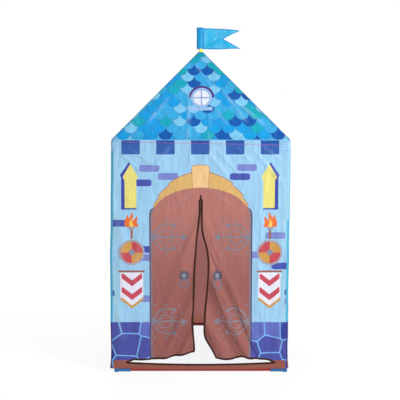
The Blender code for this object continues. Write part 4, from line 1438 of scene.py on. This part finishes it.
# %% Sag, swells and strain
ROOF_PULLS = [
    (-50, -10, -46, 236, 6, 3.2), (36, -10, 34, 120, 5, 2.6), (97, 256, 176, 104, 7, 3.4),
    (150, 200, 286, 40, 6, 3.0), (60, 170, 120, 40, 6, 2.4), (-130, 230, -210, 90, 7, 2.6),
    (-230, 130, -300, 30, 6, 2.4), (-20, 420, 60, 250, 6, 2.4),
]
ROOF_SAG = 3.5 * MM
lengthways = np.where(np.abs(x) > np.abs(y), y, x)
face_on = np.where(np.abs(x) > np.abs(y), np.sign(x) * 3.0, np.sign(y) * 7.0)
middle = smooth_step(from_hip / (60 * MM))
inward = np.clip(from_hip / np.maximum(half, 1 * MM), 0, 1) ** 0.7
sag = -ROOF_SAG * np.sin(pi * np.clip(rise_share, 0, 1)) * inward
rise = np.array([noise.noise((a / 0.16, b / 0.2, c)) for a, b, c in zip(lengthways, z, face_on)])
ridge = np.array([noise.noise((a / 0.07, b / 0.4, c + 5)) for a, b, c in zip(lengthways, z, face_on)])
out = sag + middle * (1.6 * MM * rise + 1.2 * MM * (1 - np.abs(ridge)) ** 6)
strained = middle * pulled(lengthways * -np.sign(face_on), rise_share * PANEL_RISE, ROOF_PULLS)
out += strained
# The roof's strain lines get a stronger painted highlight: pale colour along each ridge.
paint_ridge_sheen(roof, lengthways, z, strained, 0.32)
out *= smooth_step((z - EAVE) / (30 * MM))
out -= 0.5 * MM * np.clip(1 - from_hip / (7 * MM), 0, 1) ** 2
print("the roof sags by up to", round(-out.min() / MM, 1), "mm")

# %% Moving the roof's points
tilt = atan2(PEAK - EAVE, HALF - PEAK_HALF)
facing_x = np.where(np.abs(x) >= np.abs(y), np.sign(x), 0)
facing_y = np.where(np.abs(y) >= np.abs(x), np.sign(y), 0)
tip = CORNER_RADIUS * np.clip(1 - (z - EAVE) / (14 * MM), 0, 1) + 0.01 * MM
turn = np.clip(1 - from_hip / tip, 0, 1) * pi / 4
lesser = np.where(turn > 0, half - tip * (1 - np.sin(turn)), half - from_hip)
greater = half - tip * (1 - np.cos(turn))
x_leads = np.abs(x) >= np.abs(y)
move_points(roof, np.column_stack([
    np.sign(x) * np.where(x_leads, greater, lesser) + facing_x * out * sin(tilt),
    np.sign(y) * np.where(x_leads, lesser, greater) + facing_y * out * sin(tilt),
    z + out * cos(tilt),
]))
thicken(roof, CLOTH, roof_finish)
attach(roof, "tent")
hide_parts(*[f"roof_panel_{name}" for name in SIDES])
print("roof:", len(roof.data.polygons), "faces")

# %% [markdown]
# ## Piping
#
# Piping, a strip of taffeta sewn round a cord, covers the seam between roof and walls. To the eye
# it is a pale, softly twisted line. It goes round all four sides without an end, so it is the same
# rolled-up strip as the bindings, laid along the eaves and back to its start.

# %% Eave piping
PIPING_LIFT = 0.2 * MM
piping_finish, tree = blank_material("taffeta_piping_light_blue")
thread_finish(tree, ink("#6FB4E4"), 0.6, ribs=3.16 * MM)
stations = np.linspace(-SEAM_HALF, SEAM_HALF, 121)[:-1]
eave_half = shell_half(np.full(len(stations), EAVE), np.abs(stations) / SEAM_HALF)
x, y, _, _ = wrap(stations, eave_half, CORNER_RADIUS)
turns = [np.column_stack(quarter_turn(x, y, times)) for times in range(4)]
run = np.vstack([*turns, turns[0][:1]])
piping = tape("eave_piping", plain_path(*run.T, EAVE + PIPING_LIFT, UPWARDS), 2.2 * MM, 2.0 * MM)
piping.data.materials.append(piping_finish)
bpy.ops.object.shade_smooth()
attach(piping, "tent")
print("piping:", len(run), "stations round the eaves")

# %% [markdown]
# ## Corner patches
#
# Where the frame presses against the eaves' corners, a patch of the wall's own taffeta is sewn on.
# To the eye it is a plain rectangle without print, and its dark stitches tell it from the wall.
# It is bent round the corner by the same function as the walls, a little further out.


# %% Patch cloth
def rim_known(tree):
    """Results for stitches along a rim: how far it is away, and a running length beside it."""
    axes = add(tree, "SeparateXYZ", {0: add(tree, "TexCoord").outputs["UV"]})
    known = {"a": axes.outputs["X"], "b": axes.outputs["Y"]}
    known["rim"] = add(tree, "Attribute", attribute_name="from_rim").outputs["Fac"]
    return work_out(tree, known, [("sum", "ADD", "a", "b")])


patch_finish, tree = blank_material("taffeta_patch_light_blue")
known = stitches(tree, rim_known(tree), "rim", "sum", 4 * MM, 0.55 * MM, 5 * MM, 3.2 * MM)
colour = sheen_streaks(tree, ink("#A0CEE9"), 0.08)
colour = add(tree, "Mix", {0: known["stitch"], 6: colour, 7: ink("#2C4C94")}, data_type="RGBA").outputs[2]
finish_cloth(tree, colour, 0.55, THROUGH)

# %% Patches
patch_low, patch_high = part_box("eave_patch_front_left")
PATCH_WIDE = patch_high.x - patch_low.x
PATCH_TALL = patch_high.z - patch_low.z
PATCH_Z = (patch_high.z + patch_low.z) / 2
PATCH_LIFT = 0.5 * MM
for i, name in enumerate(CORNERS):
    patch = grid(f"patch_{name}", 36, 22, (2 * PATCH_WIDE, PATCH_TALL), (0, PATCH_Z))
    a, z = points(patch)[:, :2].T
    shift = SEAM_HALF + a
    beyond = shift > SEAM_HALF
    s = np.where(beyond, 2 * SEAM_HALF - shift, shift)
    px, py, ox, oy = wrap(s, shell_half(z, s / SEAM_HALF), CORNER_RADIUS)
    px, py = px + ox * PATCH_LIFT, py + oy * PATCH_LIFT
    px, py = np.where(beyond, -py, px), np.where(beyond, -px, py)
    px, py = quarter_turn(px, py, (i + 3) % 4)
    flat_map(patch, a, z)
    store(patch, "from_rim", either(PATCH_WIDE - np.abs(a), PATCH_TALL / 2 - np.abs(z - PATCH_Z)))
    move_points(patch, np.column_stack([px, py, z]))
    thicken(patch, CLOTH, [patch_finish])
    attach(patch, "tent")
    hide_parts(f"eave_patch_{name}")
print("patches:", round(2 * PATCH_WIDE / MM, 1), "by", round(PATCH_TALL / MM, 1), "mm")

# %% [markdown]
# ## Plastics
#
# The frame shows under the hem, through the door and where the flag pole leaves the roof. Its
# connectors are injection moulded and its tubes extruded, in plain opaque plastic. To the eye that
# is one full colour with a soft highlight, which breaks up a little in the orange peel of the
# surface. The peel's grains, some 0.3 mm on the real thing, are drawn four times coarser, and wider
# patches make the gloss a little uneven, as handling does.


# %% Plastics
PEEL = 1.11 * MM
HANDLED = 16.7 * MM


def plastic(name, code, roughness):
    """Opaque plastic with a low orange peel and a slightly uneven gloss."""
    made, tree = blank_material(name)
    place = add(tree, "TexCoord").outputs["Object"]
    peel = add(tree, "TexNoise", {"Vector": place, "Scale": 1 / PEEL, "Detail": 2})
    bump = add(tree, "Bump", {"Height": peel.outputs["Fac"], "Strength": 0.12, "Distance": 0.1 * MM})
    haze = add(tree, "TexNoise", {"Vector": place, "Scale": 1 / HANDLED, "Detail": 3})
    gloss = add(tree, "MapRange", {"Value": haze.outputs["Fac"], "To Min": roughness - 0.06,
                                   "To Max": roughness + 0.08})
    shell = add(tree, "BsdfPrincipled", {"Base Color": ink(code), "Roughness": gloss.outputs[0],
                                         "Normal": bump.outputs[0]})
    add(tree, "OutputMaterial", {0: shell.outputs[0]})
    return made


connector_finish = plastic("injection_moulded_blue_plastic", "#04629E", 0.36)
red_finish = plastic("extruded_red_plastic", "#A0180C", 0.3)
yellow_finish = plastic("extruded_yellow_plastic", "#F6D61C", 0.3)
print("plastics:", connector_finish.name, red_finish.name, yellow_finish.name)

# %% [markdown]
# ## The frame
#
# All of the frame is made of round bars. A tube is a bar without ends that is given a wall, and a
# connector is some bars joined to one solid, with others cut out of it as bores. Rims are rounded
# over by a bevel, because a sharp edge catches no light and looks drawn.


# %% Bars and tubes
TUBE_WALL = 1.2 * MM


def bar(name, start, end, radius, sides=40, ends="NGON", rounding=0.0):
    """A round bar from start to end."""
    start, end = Vector(start), Vector(end)
    bpy.ops.object.select_all(action="DESELECT")
    bpy.ops.mesh.primitive_cylinder_add(
        vertices=sides, radius=radius, depth=(end - start).length, end_fill_type=ends,
        location=(start + end) / 2, rotation=(end - start).to_track_quat("Z", "Y").to_euler(),
    )
    made = bpy.context.object
    made.name = made.data.name = name
    bpy.ops.object.transform_apply(location=True, rotation=True, scale=True)
    if rounding:
        ease(made, rounding)
    return made


def ease(obj, width):
    """Rounds the rims over."""
    soft = obj.modifiers.new("rims", "BEVEL")
    soft.width = width
    soft.segments = 3
    soft.limit_method = "ANGLE"
    soft.angle_limit = radians(50)
    select_only(obj)
    bpy.ops.object.modifier_apply(modifier=soft.name)


def hollow(name, start, end, radius=TUBE, wall=TUBE_WALL, rounding=0.35 * MM):
    """A tube with a real bore."""
    made = bar(name, start, end, radius, ends="NOTHING")
    shell = made.modifiers.new("wall", "SOLIDIFY")
    shell.thickness = wall
    shell.offset = -1
    bpy.ops.object.modifier_apply(modifier=shell.name)
    ease(made, rounding)
    return made


# %% Joining, dressing and copying
WELD = 0.002 * MM


def join(base, others, operation):
    """Adds solids to the first one, or cuts them out of it."""
    for other in others:
        step = base.modifiers.new("step", "BOOLEAN")
        step.operation = operation
        step.object = other
        step.solver = "EXACT"
        select_only(base)
        bpy.ops.object.modifier_apply(modifier=step.name)
        bpy.data.objects.remove(other)
    return base


def dress(obj, finish, slot, *nodes, body="tent"):
    """Gives a piece its finish and body, and lets it stand for its solids.

    Cutting leaves points that nearly fall together. They are merged, which keeps the mesh sound.
    """
    obj.data.materials.clear()
    obj.data.materials.append(finish)
    select_only(obj)
    bpy.ops.object.mode_set(mode="EDIT")
    bpy.ops.mesh.select_all(action="SELECT")
    bpy.ops.mesh.remove_doubles(threshold=WELD)
    bpy.ops.object.mode_set(mode="OBJECT")
    bpy.ops.object.shade_smooth_by_angle(angle=radians(38))
    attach(obj, body)
    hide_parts(*nodes)
    return obj


def copies(obj, name, turns, finish, slot):
    """One piece per corner, each with a mesh of its own."""
    for i in turns:
        twin = obj.copy()
        twin.data = obj.data.copy()
        twin.name = twin.data.name = f"{name}_{CORNERS[i]}_piece"
        bpy.context.scene.collection.objects.link(twin)
        twin.data.transform(Matrix.Rotation(i * pi / 2, 4, "Z"))
        dress(twin, finish, slot, f"{name}_{CORNERS[i]}")
    bpy.data.objects.remove(obj)


# %% [markdown]
# ### Level tubes and posts
#
# Four red tubes lie on the floor and four at the eaves, and four yellow posts in two halves stand
# between them. They could be one tube copied sixteen times, but each takes its length from the box
# of its own solid, so that its ends meet the connectors exactly.

# %% Level tubes and posts
for i, side in enumerate(SIDES):
    for name in ("base_tube", "eave_tube"):
        low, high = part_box(f"{name}_{side}")
        middle = (low + high) / 2
        ahead = Vector((high.x - middle.x, 0, 0)) if i % 2 == 0 else Vector((0, high.y - middle.y, 0))
        tube = hollow(f"{name}_{side}_piece", middle - ahead, middle + ahead)
        dress(tube, red_finish, "red_tube", f"{name}_{side}")

for corner_name in CORNERS:
    for name in ("post_lower", "post_upper"):
        low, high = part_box(f"{name}_{corner_name}")
        x, y = (low.x + high.x) / 2, (low.y + high.y) / 2
        tube = hollow(f"{name}_{corner_name}_piece", (x, y, low.z), (x, y, high.z))
        dress(tube, yellow_finish, "yellow_tube", f"{name}_{corner_name}")
print("tubes", round(2 * TUBE / MM, 1), "mm thick, wall", round(TUBE_WALL / MM, 1), "mm")

# %% [markdown]
# ### Connectors
#
# Tubes are pushed into moulded sleeves. A floor connector has three of them on a rounded foot, with
# a collar at each mouth, and an eave connector four, one of which slants up to the roof. The arms
# are made first, joined, and only then bored, so that no bore is closed again by its neighbour.
# One of each kind is made at the front left corner, and copies are turned to the others.

# %% Sizes and arms of a connector
SLEEVE = 9.5 * MM
BORE = TUBE + 0.3 * MM
ARM = 57 * MM
STOP = 14 * MM
HIP_ARM = 66 * MM
HIP_STOP = 22 * MM
BASE_AXIS = (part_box("base_tube_front")[0].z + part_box("base_tube_front")[1].z) / 2
EAVE_AXIS = (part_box("eave_tube_front")[0].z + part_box("eave_tube_front")[1].z) / 2
HIP_TOP = EAVE_AXIS + POST * SLOPE


def arms(middle, directions, collar):
    """Round sleeves with their bores, out of one point."""
    solids, bores = [], []
    for k, (way, length, stop) in enumerate(directions):
        ahead = Vector(way).normalized()
        mouth = middle + ahead * length
        end = mouth - ahead * 3 * MM if collar else mouth
        solids.append(bar(f"arm_{k}", middle - ahead * 3 * MM, end, SLEEVE, rounding=0.6 * MM))
        if collar:
            rim = mouth - ahead * 6 * MM
            solids.append(bar(f"collar_{k}", rim, mouth, SLEEVE + 0.7 * MM, rounding=0.5 * MM))
        bores.append(bar(f"bore_{k}", middle + ahead * stop, mouth + ahead * 5 * MM, BORE))
    return solids, bores


# %% Floor and eave connectors
spot = Vector((-POST, -POST, BASE_AXIS))
level = [((1, 0, 0), ARM, STOP), ((0, 1, 0), ARM, STOP)]
solids, bores = arms(spot, level + [((0, 0, 1), ARM, STOP)], True)
boss = bar("boss", (spot.x, spot.y, 0), (spot.x, spot.y, 21 * MM), 10.2 * MM, rounding=2.6 * MM)
base_corner = join(join(boss, solids, "UNION"), bores, "DIFFERENCE")
copies(base_corner, "base_corner", range(4), connector_finish, "connector_plastic")

spot = Vector((-POST, -POST, EAVE_AXIS))
solids, bores = arms(spot, level + [((0, 0, -1), ARM, STOP), ((1, 1, SLOPE), HIP_ARM, HIP_STOP)], False)
eave_corner = join(join(solids[0], solids[1:], "UNION"), bores, "DIFFERENCE")
copies(eave_corner, "eave_corner", range(4), connector_finish, "connector_plastic")

# %% Post couplers
WEB = 2 * MM
low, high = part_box("post_coupler_front_left")
x, y = (low.x + high.x) / 2, (low.y + high.y) / 2
coupler = bar("coupler", (x, y, low.z), (x, y, high.z), SLEEVE, rounding=0.6 * MM)
middle_z = (low.z + high.z) / 2
for k in (-1, 1):
    bore = bar(f"bore_{k}", (x, y, middle_z + k * WEB / 2), (x, y, middle_z + k * 40 * MM), BORE)
    coupler = join(coupler, [bore], "DIFFERENCE")
copies(coupler, "post_coupler", range(4), connector_finish, "connector_plastic")
print("sleeves", round(2 * SLEEVE / MM, 1), "mm thick, bores", round(2 * BORE / MM, 1), "mm")

# %% [markdown]
# ### Hip tubes, apex hub and pole
#
# Four slanting tubes carry the roof and meet in a hub that also holds the flag pole. The hub is the
# eave connector's arm four times over, round an upright stem with a deep socket. A block cuts off
# what stands above its flat top. The pole ends inside the flag's sleeve, so its rim never shows.

# %% Hip tubes
for i, corner_name in enumerate(CORNERS):
    x, y = quarter_turn(-POST, -POST, i)
    low, high = Vector((x, y, EAVE_AXIS)), Vector((0, 0, HIP_TOP))
    ahead = (high - low).normalized() * (HIP_STOP + 0.3 * MM)
    tube = hollow(f"hip_tube_{corner_name}_piece", low + ahead, high - ahead)
    dress(tube, yellow_finish, "yellow_tube", f"hip_tube_{corner_name}")
print("hip tubes", round((high - low - 2 * ahead).length, 3), "m long")

# %% Apex hub and pole
HUB_DEPTH = 34 * MM
_, hub_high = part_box("apex_hub")
pole_low, pole_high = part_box("flag_pole")
spot = Vector((0, 0, HIP_TOP))
slants = [((*quarter_turn(-1, -1, i), -SLOPE), HIP_ARM, HIP_STOP) for i in range(4)]
solids, bores = arms(spot, slants, False)
stem = bar("stem", (0, 0, HIP_TOP - HUB_DEPTH), (0, 0, hub_high.z), SLEEVE, sides=44)
bores.append(bar("socket", (0, 0, pole_low.z - 0.3 * MM), (0, 0, HIP_TOP + 60 * MM), BORE, sides=44))
bpy.ops.object.select_all(action="DESELECT")
bpy.ops.mesh.primitive_cube_add(size=0.1, location=(0, 0, hub_high.z + 0.05))
lid = bpy.context.object
bpy.ops.object.transform_apply(location=True, rotation=True, scale=True)
hub = join(join(stem, solids, "UNION"), [lid, *bores], "DIFFERENCE")
hub.name = hub.data.name = "apex_hub_piece"
dress(hub, connector_finish, "connector_plastic", "apex_hub")

POLE_TOP = pole_high.z - 9 * MM
pole = hollow("flag_pole_piece", (0, 0, pole_low.z), (0, 0, POLE_TOP))
dress(pole, yellow_finish, "yellow_tube", "flag_pole")
print("hub faces:", len(hub.data.polygons))

# %% [markdown]
# ## Hem loops
#
# An elastic loop at each corner of the hem is slipped over the floor connector and keeps the cover
# down. Braided elastic is rubber cores in a polyester braid: to the eye matt black with coarse
# ribs, about 1.2 mm apart and drawn twice as coarse. At rest the loop is a plain ring round the
# sleeve, so a short tube with a thin wall does for it.

# %% Hem loops
loop_finish, tree = blank_material("braided_elastic_black")
thread_finish(tree, ink("#2A2A30"), 0.8, ribs=2.37 * MM)
low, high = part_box("hem_loop_front_left")
x, y = (low.x + high.x) / 2, (low.y + high.y) / 2
ring = hollow("hem_loop", (x, y, low.z), (x, y, high.z), (high.x - low.x) / 2, 1 * MM, 0.3 * MM)
copies(ring, "hem_loop", range(4), loop_finish, "elastic_band")
print("hem loops", round((high.x - low.x) / MM, 1), "mm across")

# %% [markdown]
# ## Flag
#
# A swallowtail pennant in sky blue, sewn to a sleeve that slips over the pole and turns on it. The
# cloth is taffeta again, but dyed instead of printed: to the eye the same colour on both sides,
# clear and slightly glowing, and darker along its double hem. The sleeve is double everywhere, so
# it is a finish of its own that lets less light through.

# %% Places on the flag
FLAG_LOW = 1.3108
FLAG_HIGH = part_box("flag")[1].z
FLAG_TALL = FLAG_HIGH - FLAG_LOW
SLEEVE_X = -3.5 * MM
SLEEVE_HALF = 14 * MM
SLEEVE_DEEP = 9.5 * MM
FLAG_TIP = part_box("flag")[1].x + 3.5 * MM
FLAG_NOTCH = 97 * MM
NOTCH_SHARE = 0.505
print("the flag is", round(FLAG_TALL, 3), "m tall and reaches to", round(FLAG_TIP, 3), "m")


# %% Flag cloth
def flag_cloth(name, code, through):
    """Dyed taffeta with a turned hem and its stitches. Its threads are drawn finer than the wall's."""
    made, tree = blank_material(name)
    known = stitches(tree, rim_known(tree), "rim", "sum", 3.4 * MM, 0.4 * MM, 4.4 * MM, 3.0 * MM)
    work_out(tree, known, [
        ("stitch_share", "MULTIPLY", "stitch", 0.7),
        ("hem", "LESS_THAN", "rim", 3.8 * MM),
        ("hem_share", "MULTIPLY", "hem", 0.7),
    ])
    # The pennant's painted sheen: pale colour wherever painted_sheen is set.
    known["low_tone_and_sheen"] = add(tree, "Attribute", attribute_name="painted_sheen").outputs["Fac"]
    colour = sheen_streaks(tree, ink(code), 0.06)
    for share, dye in (("low_tone_and_sheen", "#C8EAF8"), ("hem_share", "#0882BE"), ("stitch_share", "#0A5C98")):
        colour = add(tree, "Mix", {0: known[share], 6: colour, 7: ink(dye)}, data_type="RGBA").outputs[2]
    finish_cloth(tree, colour, 0.5, through, threads=1.78 * MM)
    print(name, "has", len(tree.nodes), "nodes")
    return made


pennant_finish = flag_cloth("dyed_taffeta_sky_blue", "#1EADD2", 0.35)
sleeve_finish = flag_cloth("dyed_taffeta_sky_blue_double", "#0288C0", 0.12)

# %% [markdown]
# ### Sleeve
#
# The sleeve is a flattened tube of cloth, wider than the pole and pinched shut above its end. A
# cylinder without ends is subdivided, and its points are then pressed flat, pinched and crumpled.

# %% Sleeve
bpy.ops.object.select_all(action="DESELECT")
bpy.ops.mesh.primitive_cylinder_add(vertices=64, radius=1, depth=FLAG_TALL, end_fill_type="NOTHING",
                                    location=(0, 0, FLAG_LOW + FLAG_TALL / 2))
sleeve = bpy.context.object
sleeve.name = sleeve.data.name = "flag_sleeve"
bpy.ops.object.transform_apply(location=True, rotation=True, scale=True)
bpy.ops.object.mode_set(mode="EDIT")
bpy.ops.mesh.select_all(action="SELECT")
bpy.ops.mesh.subdivide(number_cuts=23)
bpy.ops.object.mode_set(mode="OBJECT")
x, y, z = points(sleeve).T
turn = np.arctan2(y, x)
share = (z - FLAG_LOW) / FLAG_TALL
pinch = 1 - 0.94 * smooth_step((share - 0.90) / 0.10)
crumple = [noise.noise((cos(a) * 1.6, sin(a) * 1.6, b / (22 * MM))) for a, b in zip(turn, z)]
crumple = 0.5 * MM * np.array(crumple)
flat_map(sleeve, turn * SLEEVE_HALF, z)
store(sleeve, "from_rim", np.minimum(z - FLAG_LOW, FLAG_HIGH - z))
move_points(sleeve, np.column_stack([
    SLEEVE_X + (SLEEVE_HALF + crumple) * np.cos(turn),
    (SLEEVE_DEEP + crumple) * np.sin(turn) * pinch,
    z,
]))
thicken(sleeve, CLOTH, [sleeve_finish])
print("sleeve:", len(sleeve.data.polygons), "faces")

# %% [markdown]
# ### Pennant
#
# The pennant is a grid whose columns end at the two points and the notch between them. It flies in
# one slow wave, with creases from its folding. A painted sheen pales it in patches, except along
# two bands that face away from the light.

# %% The pennant's outline
wide, tall = ((90, 56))
pennant = grid("flag_pennant", wide, tall)
u, v = points(pennant)[:, :2].T + 0.5
root = SLEEVE_X + SLEEVE_HALF - 0.4 * MM
fork = np.where(v < NOTCH_SHARE, (NOTCH_SHARE - v) / NOTCH_SHARE, (v - NOTCH_SHARE) / (1 - NOTCH_SHARE))
end = FLAG_NOTCH + (FLAG_TIP - FLAG_NOTCH) * fork
x = root + u * (end - root)
run = (x - root) / (FLAG_TIP - root)
low_edge = 0.02 * run - 0.01 - 0.02 * np.sin(pi * np.minimum(run / 0.75, 1))
high_edge = 0.965 - 0.05 * run - 0.07 * run**3
tall_here = FLAG_TALL * (high_edge - low_edge)
z = FLAG_LOW + FLAG_TALL * low_edge + tall_here * v
rim = either(tall_here * v, tall_here * (1 - v), (end - x) * 0.55, x - root + 0.3 * MM)
print("the pennant is", round(tall_here.max(), 3), "m tall where it is tallest")

# %% Its wave, creases and painted sheen
PENNANT_PULLS = [(24, 2, 97, 45, 6, 2200), (62, 4, 99, 40, 4, 1500), (20, 70, 70, 30, 4, 700)]
BANDS_WITHOUT_SHEEN = [(20, 6, 88, 38, 9, 1000), (100, 34, 128, 6, 8, 800)]
WAVE = {"deep": 5 * MM, "turns": 1.1, "crease": 1.1 * MM}
y = WAVE["deep"] * run * np.sin(2 * pi * WAVE["turns"] * run)
fold = creases((x + z) * 0.8, (x - z) * 0.3, 42 * MM, 3.3) + creases((x - z) * 0.8, x * 0.3, 50 * MM, 8.1)
fold += pulled(x, z - FLAG_LOW, PENNANT_PULLS)
y = y - WAVE["crease"] * fold * smooth_step(run / 0.15)
flat_map(pennant, x, z)
store(pennant, "from_rim", rim)
# A painted sheen pales the pennant in patches, but not along the two bands, which face away from the light.
sheen_gap = pulled(x, z - FLAG_LOW, BANDS_WITHOUT_SHEEN)
patches = np.clip(0.6 + 0.9 * billow(x, z, 26 * MM, 5.1), 0.2, 1)
store(pennant, "painted_sheen", 0.15 * patches * np.clip(1 - sheen_gap, 0, 1))
move_points(pennant, np.column_stack([x, y, z]))
thicken(pennant, CLOTH, [pennant_finish])

# %% Both parts of the flag
for piece in (sleeve, pennant):
    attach(piece, "flag_cloth")
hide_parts("flag")
